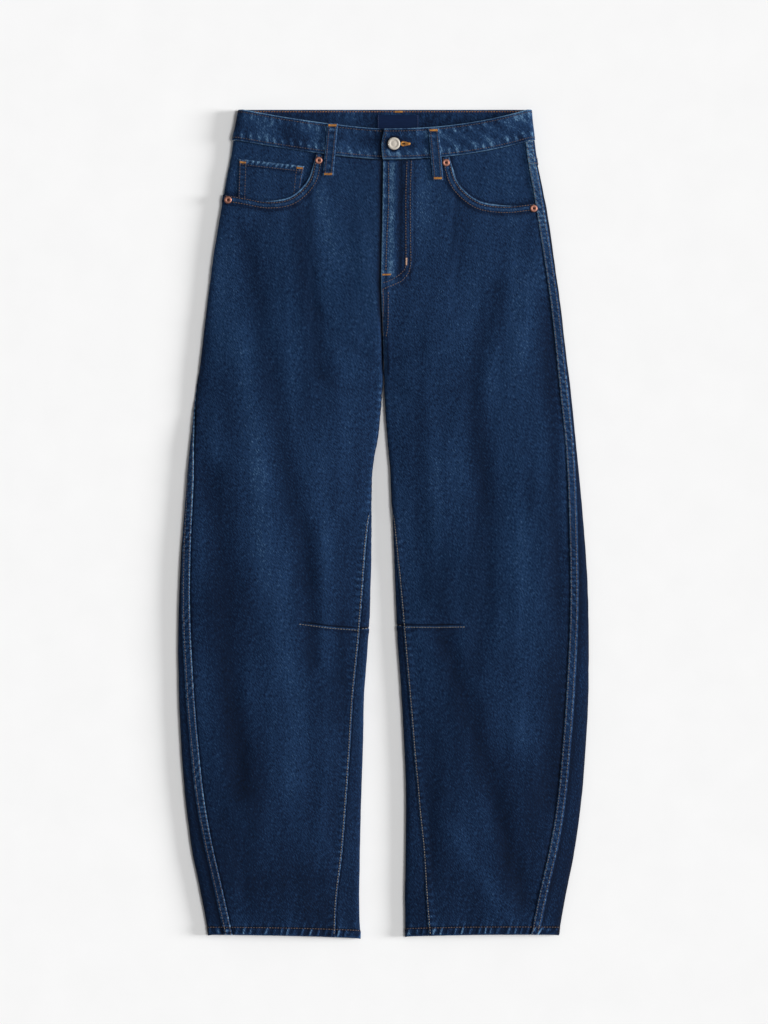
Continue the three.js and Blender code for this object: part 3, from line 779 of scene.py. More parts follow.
def even_steps(start: float, end: float, step: float) -> Array:
    """Return evenly spaced values from start towards end, without end itself."""
    return np.linspace(start, end, max(int(round((end - start) / step)), 1), endpoint=False)


# Heights of a panel's rows: close together at the hem, the knee dart and the upper edge
ROW_STEP = 2.7
HEM_ROWS = (0, 0.5, 1.2, 2.2, 3.6, 5.2, 7.0, 8.6, 9.8, 10.6, 11.6, 13, 15, 18)
KNEE = (369.0, 389.0)
EDGE_ROWS = (14, 11.5, 9.8, 8.6, 7, 5.2, 3.6, 2.4, 1.4, 0.7, 0)  # distances below the upper edge
LEG_ROWS = np.concatenate([
    HEM_ROWS, even_steps(21, KNEE[0], ROW_STEP), even_steps(*KNEE, 0.9),
    even_steps(KNEE[1], CROTCH, ROW_STEP),
])


def seat_rows(foot: float, head: float) -> Array:
    """Return the rows from the crotch or a lower seam up to a panel's upper edge."""
    return np.concatenate([even_steps(foot, head - EDGE_ROWS[0], ROW_STEP), head - np.array(EDGE_ROWS)])


@dataclass
class Panel:
    """A panel between two seams, from its lower edge to its upper edge.

    Attributes:
        name: The piece's name.
        side: The half of the garment that it is on.
        rows: The rows' heights, measured where the upper edge is at `head`.
        start: g at the first seam, by height.
        end: g at the last seam, by height.
        top: The upper edge's height, by g and distance from the centre line.
        bottom: The lower edge's height, by g and distance from the centre line.
        relief: What is raised or sunk, from the grid's measures, with the wear and painted shade there.
        near_seam: Distances from the first seam that get a column each.
        columns: How many columns lie between the two sets at the seams.
        roundness: How strongly columns gather at the folds, in millimetres for each g.
        close: Stretches from the centre line out where columns are closer, each with how much.
        depth: How far inside the laid shape the panel lies.
        grain: The layer whose straight line at GRAIN_LINE the cloth's threads follow.
        bent: Whether it follows the slight bend of the centre front.
    """

    name: str
    side: Side
    rows: Array
    start: Callable[[Array], Array]
    end: Callable[[Array], Array]
    top: Callable[[Array, Array], Array]
    bottom: Callable[[Array, Array], Array]
    relief: Callable[["Measures"], tuple[Array, Array]]
    near_seam: tuple[float, ...] = (0.15, 0.7, 1.3, 2.0, 3.0, 4.4, 6.2, 8.4, 11.0)
    columns: int = 54
    roundness: float = 40.0
    close: tuple[tuple[float, float, float], ...] = ()
    depth: float = 0.0
    grain: Layer = Layer.FRONT
    bent: bool = False

    def heights(self, row: Array, g: Array) -> Array:
        """Return the heights of points of a row, which follows the panel's edges.

        Args:
            row: The rows' heights.
            g: Places round the leg's ring.

        Returns:
            The heights.
        """
        foot, head = self.rows[0], self.rows[-1]
        sign = self.side.value
        f = np.where(g > 2, g - 2, np.where(g <= 1, g, 2 - g))
        x = FORM.across(FORM.section(sign, np.minimum(row, 940) + 0 * g), f)
        base = max(foot, CROTCH)
        low = self.bottom(g, x) if foot > CROTCH else CROTCH
        above = mix(low, self.top(g, x), (row - base) / (head - base))
        below = row + self.bottom(g, x) * (1 - row / CROTCH)
        return np.where(row <= CROTCH, below, above)

    def seam(self, row: Array, seam: Callable[[Array], Array]) -> Array:
        """Return g where a row meets a seam.

        Args:
            row: The rows' heights.
            seam: g at the seam, by height.

        Returns:
            The values of g.
        """
        y = row
        for _ in range(4):
            y = self.heights(row, seam(y))
        return seam(y)

    def grid(self) -> Grid:
        """Work out the panel's places, from even distances over the cloth.

        Returns:
            The grid.
        """
        sign = self.side.value
        row = self.rows[:, None]
        start, end = self.seam(self.rows, self.start), self.seam(self.rows, self.end)
        fine = mix(start[:, None], end[:, None], np.linspace(0, 1, FINE_STEPS)[None, :])
        track = FORM.point(sign, self.heights(row, fine), fine)
        arcs = np.cumsum(np.linalg.norm(np.diff(track, axis=1), axis=2), axis=1)
        arcs = np.concatenate([np.zeros((len(arcs), 1)), arcs], axis=1)
        g = np.array([self.stations(*row) for row in zip(arcs, fine, np.abs(track[..., 0]))])
        along = np.array([np.interp(at, line, arc) for at, line, arc in zip(g, fine, arcs)])
        y = self.heights(row, g)
        y[-1] -= SEAM_GAP / 2
        if self.rows[0] > 0:
            y[0] += SEAM_GAP / 2
        base, normals = FORM.point(sign, y, g), FORM.normal(sign, y, g)
        line = FORM.share(FORM.section(sign, y[:, 0]), np.full(len(y), GRAIN_LINE))
        line = line if self.grain is Layer.FRONT else 2 - line
        origin = np.array([np.interp(at, track_g, arc) for at, track_g, arc in zip(line, fine, arcs)])
        flat = np.stack([sign * (along - origin[:, None]), y], axis=-1)
        measures = Measures(
            self.side, base[..., 0], y, g, along, arcs[:, -1:] - along, flat[..., 0],
            self.down(base), self.down(base[::-1])[::-1], base[..., 2],
        )
        raised, wear = self.relief(measures)
        resting = np.where(normals[..., 2] < -0.2, np.clip((base[..., 2] - 0.05) / 1.0, 0, 1), 1)
        raised = np.where(raised > 0, raised * resting, raised)
        places = base + normals * (raised - self.depth)[..., None]
        places[..., 1] -= hem_drop(sign, places[..., 0], y)
        if self.bent:
            places[..., 0] += centre_bend(places[..., 0], y) * (g < 1)
        wall = mix(HEM_WALL, DENIM, smooth(10.5, 12.5, measures.from_bottom)) if self.rows[0] == 0 else DENIM
        return Grid(self.name, places, normals, flat, np.clip(wear, -1, 1), wall, flip=sign < 0)

    def stations(self, arc: Array, line: Array, x: Array) -> Array:
        """Return g of a row's columns: at set distances from both seams and even between them.

        Args:
            arc: Distances along a fine row.
            line: g at those distances.
            x: Distances from the centre line there.

        Returns:
            The values of g.
        """
        total = arc[-1]
        near = np.array(self.near_seam) * min(1.0, total / (3 * self.near_seam[-1]))
        closer = sum((gain * smooth(low, high, x) for low, high, gain in self.close), 0 * x)
        measure = arc + self.roundness * (line - line[0])
        measure[1:] += np.cumsum(np.abs(np.diff(closer)))
        first, last = np.interp([near[-1], total - near[-1]], arc, measure)
        between = np.interp(np.linspace(first, last, self.columns + 2)[1:-1], measure, line)
        return np.concatenate([np.interp(near, arc, line), between, np.interp(total - near[::-1], arc, line)])

    @staticmethod
    def down(places: Array) -> Array:
        """Return each place's distance from the first row, measured along its column."""
        steps = np.linalg.norm(np.diff(places, axis=0), axis=2)
        return np.concatenate([np.zeros((1, places.shape[1])), np.cumsum(steps, axis=0)])


HEM_DROPS = {-1: 4.2, 1: 2.0}  # how much lower each hem hangs at the inner fold than at the outer one


def hem_drop(sign: int, x: Array, y: Array) -> Array:
    """Return how far the slant of a hem lowers each place."""
    inward = np.clip((214 - np.abs(x)) / 186, 0, 1)
    return HEM_DROPS[sign] * inward * (1 - smooth(0, 140, y))


# Height, and how far the centre front lies to the wearer's right of the middle
CENTRE_BEND = Curve((
    (684, 0), (712, 0.5), (740, 1.4), (768, 2.6), (800, 3.4), (860, 2.2), (944, 0.9), (1008, 0.9),
))


def centre_bend(x: Array, y: Array) -> Array:
    """Return how far the slight bend of the centre front moves each place."""
    return -CENTRE_BEND(y) * smooth(CROTCH, CROTCH + 8, y) * bump(x, 26)


GRAIN_LINE = 120.0  # distance from the centre line of the thread that runs straight down each leg
FINE_STEPS = 320  # how finely a panel's rows are measured before the columns are set


@dataclass(frozen=True)
class Measures:
    """What a panel's relief is worked out from, at each of its places."""

    side: Side
    x: Array
    y: Array
    g: Array
    from_start: Array
    from_end: Array
    across: Array
    from_bottom: Array
    from_top: Array
    z: Array


def seam_edge(away: Array) -> Array:
    """Return how cloth turns down into a seam, less than 0 within a millimetre of it."""
    return -0.55 * bump(away, 0.7)


def ridge(away: Array, width: float, height: float) -> Array:
    """Return the rise over a seam's allowance, which ends in a soft step."""
    return height * (1 - smooth(width - 1.2, width + 1.8, away)) + seam_edge(away)


def hem_relief(m: Measures, seed: int) -> tuple[Array, Array]:
    """Return the turned-up hem's rise with its twisted ropes, and its wear and painted shade.

    Args:
        m: The panel's measures.
        seed: Sets the unevenness.

    Returns:
        The rise and the wear.
    """
    inside = 1 - smooth(HEM_DEPTH - 0.8, HEM_DEPTH + 1.6, m.from_bottom)
    twist = np.sin(2 * math.pi * (m.across / 9.0 - m.from_bottom / 30 + 0.25 * wavering(m.across, 43, seed)))
    body = inside * smooth(0, 2.5, m.from_bottom)
    raised = 0.55 * inside + 0.32 * body * twist + seam_edge(m.from_bottom)
    uneven = 0.65 + 0.35 * wavering(m.across, 31, seed + 3)
    wear = body * (1.4 * np.maximum(twist, 0) ** 2 * uneven - 0.15) + 0.35 * bump(m.from_bottom - 0.8, 0.9)
    above = smooth(HEM_DEPTH, HEM_DEPTH + 3, m.from_bottom) * np.exp(-np.abs(m.from_bottom - HEM_DEPTH) / 5)
    # painted shadow: the dark line along the hem's upper edge, where the turned-up hem steps down
    wear += -0.45 * bump(m.from_bottom - HEM_DEPTH, 1.2) + 1.3 * above * np.maximum(twist, 0) ** 2 * uneven
    return raised, wear


def pucker(away: Array, along: Array, height: float, seed: int, period: float = 9.5) -> Array:
    """Return the small puckers that a tight row of stitches draws beside a seam."""
    return height * np.exp(-away / 6.5) * (1 - 0.6 * bump(away, 0.8)) * wavering(along, period, seed)


def crease_wear_and_shade(height: Array) -> Array:
    """Return a crease's colour: its ridge worn lighter, and its trough darker with painted shade."""
    return np.clip(0.16 * height, -0.26, 0.16)


def unevenness(m: Measures, seed: int, height: float) -> Array:
    """Return the broad and the fine ripples of a panel."""
    return Ripples(seed, height)(m.across, m.y) + Ripples(seed + 20, 0.1, 9, 22, 1.6)(m.across, m.y)


def front_relief(m: Measures) -> tuple[Array, Array]:
    """Return what is raised on a front, and its wear and painted shade: seams, hem, pocket mouth, fly and
    creases.

    Args:
        m: The panel's measures.

    Returns:
        The rise and the wear.
    """
    word, sign = m.side.word, m.side.value
    fine = creased(FRONT_CREASES, m.x, m.y)
    raised = fine + unevenness(m, 11 + sign, 0.34)
    wear = crease_wear_and_shade(creased(MAIN_FOLDS, m.x, m.y) + fine)
    wear += Ripples(51 + sign, 0.07, 40, 160)(m.across, m.y)
    hem, hem_wear_and_shade = hem_relief(m, 61 + sign)
    leg = 1 - smooth(CROTCH - 24, CROTCH + 14, m.y)
    inseam = leg * (ridge(m.from_start, 7.5, 0.45) + pucker(m.from_start, m.y, 0.26, 71 + sign))
    outseam = -0.45 * np.exp(-m.from_end / 2.2) + pucker(m.from_end, m.y, 0.24, 81 + sign, 11)
    # painted shade: the dark line along the inseam's stitch row, and the dark along the outseam where the
    # front runs under the felled back
    wear += leg * (0.5 * bump(m.from_start - 0.6, 0.8) - 0.3 * bump(m.from_start - 2.2, 0.9))
    wear += leg * 0.42 * (1 - smooth(7, 11, m.from_start)) * np.maximum(wavering(m.y, 8.5, 71 + sign), -0.3)
    wear += -0.45 * bump(m.from_end, 1.8) + 0.2 * np.exp(-m.from_end / 7) * wavering(m.y, 11, 81 + sign)
    dart, dart_wear_and_shade = dart_relief(m)
    mouth = mouth_distance(m.side, m.x, m.y)
    along = np.abs(m.x) * 0.8 + (970 - m.y)
    band = ridge(mouth, 9.6, 0.75) + pucker(mouth, along, 0.22, 91 + sign, 10)
    # painted shade: the dark lines along the mouth's stitch rows and just past its raised band
    wear += 0.75 * bump(mouth - 0.2, 0.7) + 0.2 * bump(mouth - 5.3, 1.7) - 0.35 * bump(mouth - 11.4, 1.6)
    wear += -0.4 * (bump(mouth - 2.4, 1.0) + bump(mouth - 8.4, 1.0))
    # painted shadow: a dark line just below the waistband's lower edge
    wear -= 0.6 * bump(m.from_top, 1.4) * (mouth > 6)
    wear += 0.12 * pucker(mouth, along, 1, 91 + sign, 10)
    bag = 0.3 * bump(distance_to([(sign * x, y) for x, y in POCKET_BAG], m.x, m.y), 3.2)
    top = pucker(m.from_top, m.across, 0.2, 97 + sign) * (mouth > 12)
    centre, centre_wear_and_shade = centre_relief(m)
    raised = raised + hem + inseam + outseam + dart + band + bag + top + centre
    return raised, wear + hem_wear_and_shade + dart_wear_and_shade + centre_wear_and_shade


POCKET_BAG = ((118, 842), (126, 826), (140, 820), (156, 822))


def dart_relief(m: Measures) -> tuple[Array, Array]:
    """Return the knee dart's pressed seam, and its wear with painted shade along the fold; it fades out at
    the tip.

    Args:
        m: The panel's measures.

    Returns:
        The rise and the wear.
    """
    path = KNEE_DARTS[m.side.word]
    tip = abs(path[-1][0])
    line = np.interp(np.abs(m.x), [abs(x) for x, _ in path], [y for _, y in path])
    above = m.y - line
    reach = 1 - smooth(tip - 16, tip + 1, np.abs(m.x))
    lap = smooth(-7.5, -5.2, above) * (above < 0)
    raised = reach * (0.5 * lap * (1 - bump(above, 0.9)) - 0.55 * bump(above - 0.7, 0.9))
    # pale on the dart's folded edge; the dark lines above the fold and below the lap are painted shade
    wear = reach * (0.5 * bump(above + 0.6, 0.8) - 0.9 * bump(above - 0.9, 1.0) - 0.2 * bump(above + 4, 2))
    return raised, wear


def mouth_distance(side: Side, x: Array, y: Array) -> Array:
    """Return the distance from a pocket mouth's edge, and far away on the other side of the fold.

    Args:
        side: The half of the garment.
        x: Distances to the wearer's left.
        y: Heights from the hems.

    Returns:
        The distances.
    """
    path = rounded_path(POCKET_MOUTHS[side.word])
    away = distance_to(path.tolist(), x, y)
    return np.where((y > 840) & (np.abs(x) > 50), away, 99.0)


def centre_relief(m: Measures) -> tuple[Array, Array]:
    """Return the fly and the front seam below it, and their wear and painted shade.

    Args:
        m: The panel's measures.

    Returns:
        The rise and the wear.
    """
    if m.side is Side.RIGHT:
        # painted shadow: the right front darkens where it runs under the fly
        tucked = smooth(CROTCH - 4, CROTCH + 8, m.y)
        return -0.8 * tucked * bump(m.from_start, 2.6), -1.0 * tucked * bump(m.from_start, 3.4)
    x = np.maximum(m.x, 0)
    rise = FORM.fly_rise(x, m.y) * (m.g < 1)
    height = smooth(FLY["bottom"] - 2, FLY["bottom"] + 20, m.y)
    zip_ridge = height * (0.5 * bump(x - 15.8, 3.4) * smooth(800, 850, m.y) - 0.45 * bump(x - 21.4, 2.6))
    seam = smooth(CROTCH - 6, CROTCH + 10, m.y)
    below = seam * (1 - height) * 0.45 * (1 - smooth(7.4, 10.4, x))
    edge = seam * (seam_edge(m.from_start) + 0.4 * pucker(m.from_start, m.y, 0.5, 131, 12))
    wear = seam * (0.5 * bump(x - 0.9, 1.1) + 0.2 * pucker(m.from_start, m.y, 1, 131, 12))
    wear += height * (0.36 * bump(x - 11.5, 3.0) * (0.6 + 0.5 * wavering(m.y, 29, 141)))
    wear += height * 0.3 * (1 - smooth(13, 19, x)) * (1 + 0.5 * wavering(m.y, 13, 151))
    # painted shade: the dark in the zip's groove, along the fly's stitch rows and just outside the fly's edge
    wear -= height * 0.4 * bump(x - 21.4, 3)
    wear += -0.45 * seam * (bump(x - 5.9, 0.9) + height * (bump(x - 27.5, 1.2) + bump(x - 33, 1.2)))
    reach = np.where(m.y > 826, x, np.hypot(x, (826 - m.y) * FLY["width"] / FLY["corner"]))
    wear += height * (0.2 * bump(reach - 35.4, 1.2) - 0.3 * bump(reach - 37.6, 1.8))
    return rise + zip_ridge + below + edge, wear * (m.g < 1)


FELL = 9.6  # width of the felled outseam
PRESSED = -0.2  # the lowest that sewing under the garment reaches, where it is pressed flat


def felled_wear(m: Measures, seed: int) -> Array:
    """Return how a felled seam is worn: pale at its edge, and in uneven bars across it.

    Args:
        m: The panel's measures.
        seed: Sets the unevenness.

    Returns:
        The wear.
    """
    felled = 1 - smooth(FELL - 0.5, FELL + 1.5, m.from_start)
    bars = 0.34 * wavering(m.y, 5.4, seed) + 0.3 * wavering(m.y + 1.3 * m.from_start, 10.5, seed + 7)
    return 0.42 * bump(m.from_start - FELL, 0.9) + felled * (bars + 0.16 + 0.2 * smooth(700, 860, m.y))


def back_relief(m: Measures) -> tuple[Array, Array]:
    """Return what is raised on a back, and its wear and painted shade: felled seams, hem and creases on both
    faces.

    Args:
        m: The panel's measures.

    Returns:
        The rise and the wear.
    """
    sign = m.side.value
    on_top = (m.g < 1) | (m.g > 2)
    creases = creased(BACK_CREASES, m.x, m.y) * (~on_top)
    raised = (creases + unevenness(m, 12 + sign, 0.3)) * np.where(on_top, 0.6, 1)
    wear = crease_wear_and_shade(creases) + Ripples(52 + sign, 0.07, 40, 160)(m.across, m.y)
    # painted shade: darker along the rolled outer fold, more so on the wearer's left
    wear -= np.where(sign > 0, 0.6, 0.12) * bump(m.g - 1, 0.12)
    hem, hem_wear_and_shade = hem_relief(m, 62 + sign)
    fell = ridge(m.from_start, FELL, 0.85) + pucker(m.from_start, m.y, 0.3, 72 + sign, 10.5)
    inseam = pucker(m.from_end, m.y, 0.2, 82 + sign) - 0.35 * np.exp(-m.from_end / 2)
    wear += 0.5 * bump(m.from_start - 0.6, 0.8) + felled_wear(m, 72 + sign)
    # painted shade: dark lines beside the felled seam's edge and along the inseam
    wear += -0.45 * bump(m.from_start - FELL - 2.2, 1.5) - 0.35 * bump(m.from_end, 1.5)
    dart, dart_wear_and_shade = dart_relief(m)
    near_inseam = m.g > 1.5
    yoke = -0.4 * np.exp(-m.from_top / 2)
    raised = raised + hem + fell + inseam + dart * near_inseam + yoke * (m.y > CROTCH)
    return raised, wear + hem_wear_and_shade + dart_wear_and_shade * near_inseam


def yoke_relief(m: Measures) -> tuple[Array, Array]:
    """Return what is raised on a back yoke, and its wear and painted shade.

    Args:
        m: The panel's measures.

    Returns:
        The rise and the wear.
    """
    sign = m.side.value
    raised = ridge(m.from_bottom, FELL, 0.6) + ridge(m.from_start, FELL, 0.6)
    raised += Ripples(13 + sign, 0.2)(m.across, m.y)
    wear = 0.3 * bump(m.from_bottom - 0.8, 1) + 0.5 * bump(m.from_start - 0.8, 0.9)
    # painted shade: a dark line beside the felled seam's edge
    wear += felled_wear(m, 172 + sign) - 0.35 * bump(m.from_start - FELL - 2.2, 1.5)
    return raised, wear


def facing_relief(m: Measures) -> tuple[Array, Array]:
    """Return the small ripples of the facing inside a pocket mouth, and its colour, with painted shade under
    the mouth's edge.

    Args:
        m: The panel's measures.

    Returns:
        The rise and the wear.
    """
    sign = m.side.value
    mouth = mouth_distance(m.side, m.x, m.y)
    # painted shadow: darker under the pocket mouth's edge
    shaded = 0.04 - 0.4 * bump(mouth, 4) + 0.1 * bump(m.from_end - 1, 2)
    return Ripples(14 + sign, 0.16, 14, 50, 1.2)(m.across, m.y), shaded


def mouth_height(side: Side, x: Array, lap: float = 0.0) -> Array:
    """Return the height of a pocket mouth's edge over each distance from the centre line.

    Args:
        side: The half of the garment.
        x: Distances from the centre line.
        lap: How far the edge is moved towards the centre and the hem.

    Returns:
        Heights, and a height above the garment nearer the centre than the mouth.
    """
    path = rounded_path(POCKET_MOUTHS[side.word])
    away = np.abs(path[:, 0]) - lap
    return np.where(x < away[0], LENGTH + 40 * (away[0] - x), np.interp(x, away, path[:, 1] - lap))


SUNK = 0.16  # how much of a stitch's height its middle stands above the cloth
THREAD_STEP = 0.62  # distance between the threads of a bar tack


@dataclass
class Stitching:
    """Threads as joined copies of one small rounded stitch, laid along paths on the cloth."""

    pitch: float = 3.3
    length: float = 2.35
    width: float = 0.9
    height: float = 0.55
    tack_width: float = 0.66
    tack_height: float = 0.75

    @staticmethod
    def template() -> tuple[Array, list[tuple[int, ...]]]:
        """Return one stitch of length, width and height 1 as vertices and faces.

        Returns:
            Its vertices and its faces.
        """
        shape = bmesh.new()
        bmesh.ops.create_uvsphere(shape, u_segments=6, v_segments=4, radius=0.5)
        bmesh.ops.rotate(shape, verts=shape.verts, matrix=Matrix.Rotation(math.pi / 2, 3, "Y"))
        spots = np.array([vertex.co[:] for vertex in shape.verts])
        faces = [tuple(vertex.index for vertex in face.verts) for face in shape.faces]
        shape.free()
        return spots, faces

    def joined(self, name: str, laid: Sequence[Threads]) -> bpy.types.Object:
        """Join a copy of the stitch at every place.

        Args:
            name: The piece's name.
            laid: Arrays of places, headings, normals and sizes, one set for each row of stitches.

        Returns:
            The joined piece.
        """
        spots, faces = self.template()
        places, headings, normals, sizes = (np.concatenate(part) for part in zip(*laid))
        headings = headings / np.linalg.norm(headings, axis=1, keepdims=True)
        sideways = np.cross(normals, headings)
        sideways /= np.linalg.norm(sideways, axis=1, keepdims=True)
        upright = np.cross(headings, sideways)
        axes = np.stack([headings, sideways, upright], axis=1) * sizes[:, :, None]
        corners = places[:, None, :] + np.einsum("va,nac->nvc", spots, axes)
        corners[..., 2] = np.maximum(corners[..., 2], PRESSED)
        mesh = bpy.data.meshes.new(name)
        firsts = range(0, len(places) * len(spots), len(spots))
        every = [tuple(index + first for index in face) for first in firsts for face in faces]
        mesh.from_pydata(metres(corners.reshape(-1, 3)).tolist(), [], every)
        mesh.shade_smooth()
        return put(name, mesh)

    def row(self, line: Array, normals: Array, seed: int = 1, pitch: float | None = None) -> Threads:
        """Set stitches along a line on the cloth.

        Args:
            line: Places along the row.
            normals: The cloth's outward normals there.
            seed: Sets the small unevenness of the stitches.
            pitch: Distance from stitch to stitch, if not the usual one.

        Returns:
            Places, headings, normals and sizes of the stitches.
        """
        pitch = pitch or self.pitch
        along = lengths(line)
        count = max(int(along[-1] / pitch), 1)
        middle = (np.arange(count) + 0.5) * along[-1] / count
        draw = np.random.default_rng(seed)
        ahead, behind = (sample(middle + reach, along, line) for reach in (self.length / 2, -self.length / 2))
        upright = sample(middle, along, normals)
        headings = ahead - behind
        headings += np.cross(upright, headings) * draw.normal(0.05, 0.05, (count, 1))
        sizes = np.array([self.length * pitch / self.pitch, self.width, self.height])
        sizes = sizes * draw.uniform(0.9, 1.1, (count, 3))
        return sample(middle, along, line) + upright * self.height * SUNK, headings, upright, sizes

    def bar(self, start: Array, end: Array, normal: Array, length: float, lift: float = 0.25) -> Threads:
        """Set a bar tack: short threads side by side from start to end.

        Args:
            start: The middle of the first thread.
            end: The middle of the last thread.
            normal: The cloth's outward normal.
            length: The threads' length, across the bar.
            lift: How far the threads' middles stand above the places.

        Returns:
            Places, headings, normals and sizes of the threads.
        """
        start, end, normal = (np.asarray(value, float) for value in (start, end, normal))
        span = np.linalg.norm(end - start)
        count = max(int(span / THREAD_STEP), 3)
        shares = np.linspace(0, 1, count)[:, None]
        across = np.cross(normal, (end - start) / span)
        slant = np.where(np.arange(count)[:, None] % 2, 0.22, -0.12) * (end - start) / span
        normals = np.tile(normal, (count, 1))
        uneven = 1 + 0.08 * np.sin(np.arange(count) * 2.4)
        sizes = np.tile([length, self.tack_width, self.tack_height], (count, 1)) * uneven[:, None]
        return start + (end - start) * shares + normals * lift, across + slant, normals, sizes


SEWING = Stitching()
RAY_START = 7.0  # how far outside the laid shape a line starts to fall
RAY_LENGTH = 13.0


def drop(grids: Sequence[Grid], line: Array, normals: Array) -> Line:
    """Let a line fall on the outermost of some pieces of cloth.

    Args:
        grids: The pieces.
        line: Places near the cloth.
        normals: The outward normals there.

    Returns:
        The places on the cloth that it meets, and their normals.
    """
    met, kept = [], []
    for place, normal in zip(line, normals):
        start, heading = Vector(place + normal * RAY_START), Vector(-normal)
        casts = (grid.surface().ray_cast(start, heading, RAY_LENGTH) for grid in grids)
        hits = [hit for hit in casts if hit[0]]
        if hits:
            nearest = min(hits, key=lambda hit: hit[3])
            met.append(nearest[0][:])
            kept.append(normal)
    return np.array(met), np.array(kept)


def fine_path(points: Path, step: float = 1.2, curved: bool = True) -> Array:
    """Return closely spaced points along a path in the X and Y of the garment.

    Args:
        points: The points that it passes.
        step: The distance between its points.
        curved: Whether it runs smoothly through them.

    Returns:
        The path as an array of points.
    """
    path = rounded_path(points) if curved and len(points) > 2 else np.array(points, float)
    along = lengths(path)
    return sample(np.linspace(0, along[-1], max(int(along[-1] / step), 2)), along, path)


def beside(path: Array, distance: float) -> Array:
    """Return a path moved sideways to its right by a distance.

    Args:
        path: The path's points.
        distance: The distance in millimetres.

    Returns:
        The moved path.
    """
    ahead = np.gradient(path, axis=0)
    ahead /= np.linalg.norm(ahead, axis=1, keepdims=True)
    return path + np.stack([ahead[:, 1], -ahead[:, 0]], axis=1) * distance


def surface_row(grids: Sequence[Grid], path: Array, seed: int) -> Threads:
    """Set a row of stitches along a path on the front of the garment."""
    base, normals = FORM.lay(Layer.FRONT, path[:, 0], path[:, 1], 1.0)
    return SEWING.row(*drop(grids, base, normals), seed)


def seam_line(grid: Grid, distance: float, from_end: bool = False) -> Line:
    """Return a line on a panel at a distance from one of its seams, from the bottom to the top.

    Args:
        grid: The piece of cloth.
        distance: The distance in millimetres.
        from_end: Whether the last seam is meant.

    Returns:
        The places and their normals.
    """
    line, normals = [], []
    for places, normal in zip(grid.places, grid.normals):
        along = lengths(places)
        at = along[-1] - distance if from_end else distance
        line.append(sample(at, along, places))
        normals.append(sample(at, along, normal))
    return np.array(line), np.array(normals)


def edge_line(grid: Grid, distance: float, from_top: bool = False) -> Line:
    """Return a line on a panel at a distance from its lower or upper edge."""
    turned = Grid(grid.name, grid.places.swapaxes(0, 1), grid.normals.swapaxes(0, 1), grid.flat, grid.wear)
    return seam_line(turned, distance, from_top)


def between(line: Line, low: float, high: float) -> Line:
    """Return the part of a line that lies between two heights.

    Args:
        line: The line.
        low: The lower height.
        high: The upper height.

    Returns:
        The places and normals between them.
    """
    places, normals = line
    inside = (places[:, 1] >= low) & (places[:, 1] <= high)
    return places[inside], normals[inside]


def add_node(tree: Tree, kind: str, feeds: dict | None = None, **settings: object) -> bpy.types.Node:
    """Add a shader node with its settings and what feeds its inputs.

    Args:
        tree: The material's node tree.
        kind: The node's type.
        feeds: Sockets to link from, or values to set, by input name or number.
        settings: The node's own properties.

    Returns:
        The node.
    """
    made = tree.nodes.new(kind)
    for key, value in settings.items():
        setattr(made, key, value)
    for key, feed in (feeds or {}).items():
        if isinstance(feed, Socket):
            tree.links.new(feed, made.inputs[key])
        else:
            made.inputs[key].default_value = feed
    return made


@dataclass(frozen=True)
class Finish:
    """A finish: the name and the surface's plain values, and a pattern that each kind adds."""

    name: str
    roughness: float
    metallic: float = 0.0
    sheen: float = 0.0
    specular: float = 0.5

    def material(self) -> bpy.types.Material:
        """Make the material, or return it if it is already made.

        Returns:
            The material.
        """
        if self.name in bpy.data.materials:
            return bpy.data.materials[self.name]
        made = bpy.data.materials.new(self.name)
        made.use_nodes = True
        tree = made.node_tree
        shader = tree.nodes["Principled BSDF"]
        for socket, value in (
            ("Roughness", self.roughness), ("Metallic", self.metallic), ("Sheen Weight", self.sheen),
            ("Specular IOR Level", self.specular),
        ):
            shader.inputs[socket].default_value = value
        self.paint(tree, shader)
        return made

    def paint(self, tree: Tree, shader: bpy.types.Node) -> None:
        """Add the finish's own pattern; the plain kinds have none."""


def noise(tree: Tree, vector: Socket, size: tuple[float, float], turn: float, detail: float = 2.0) -> Socket:
    """Add a noise whose blotches have a size in millimetres, turned by an angle in degrees.

    Args:
        tree: The material's node tree.
        vector: The places that it is drawn at.
        size: The blotches' length and width.
        turn: Their heading.
        detail: How finely they break up.

    Returns:
        The pattern, from 0 to 1.
    """
    scale = (size[0] * MM, size[1] * MM, size[1] * MM)
    feeds = {"Vector": vector, "Rotation": (0, 0, math.radians(turn)), "Scale": scale}
    scaled = add_node(tree, "ShaderNodeMapping", feeds, vector_type="TEXTURE").outputs[0]
    feeds = {"Vector": scaled, "Scale": 1.0, "Detail": detail, "Roughness": 0.55}
    return add_node(tree, "ShaderNodeTexNoise", feeds).outputs["Fac"]


def weighted(tree: Tree, base: float, *parts: tuple[Socket, float, float]) -> Socket:
    """Add up patterns: base plus each pattern's value about its middle, times its weight.

    Args:
        tree: The material's node tree.
        base: The value where every pattern is at its middle.
        parts: Each pattern with its middle and weight.

    Returns:
        The sum.
    """
    total = None
    for pattern, middle, weight in parts:
        feeds = {0: pattern, 1: weight, 2: (base if total is None else 0.0) - middle * weight}
        scaled = add_node(tree, "ShaderNodeMath", feeds, operation="MULTIPLY_ADD").outputs[0]
        if total is not None:
            scaled = add_node(tree, "ShaderNodeMath", {0: total, 1: scaled}).outputs[0]
        total = scaled
    return total


def ramp(tree: Tree, value: Socket, stops: Sequence[tuple[float, str]]) -> Socket:
    """Add a colour ramp through hex colours.

    Args:
        tree: The material's node tree.
        value: What the colour is looked up by.
        stops: Positions and hex colours.

    Returns:
        The colour.
    """
    made = add_node(tree, "ShaderNodeValToRGB", {0: value})
    elements = made.color_ramp.elements
    while len(elements) < len(stops):
        elements.new(0.5)
    for element, (position, colour) in zip(elements, stops):
        element.position = position
        element.color = linear(colour)
    return made.outputs["Color"]


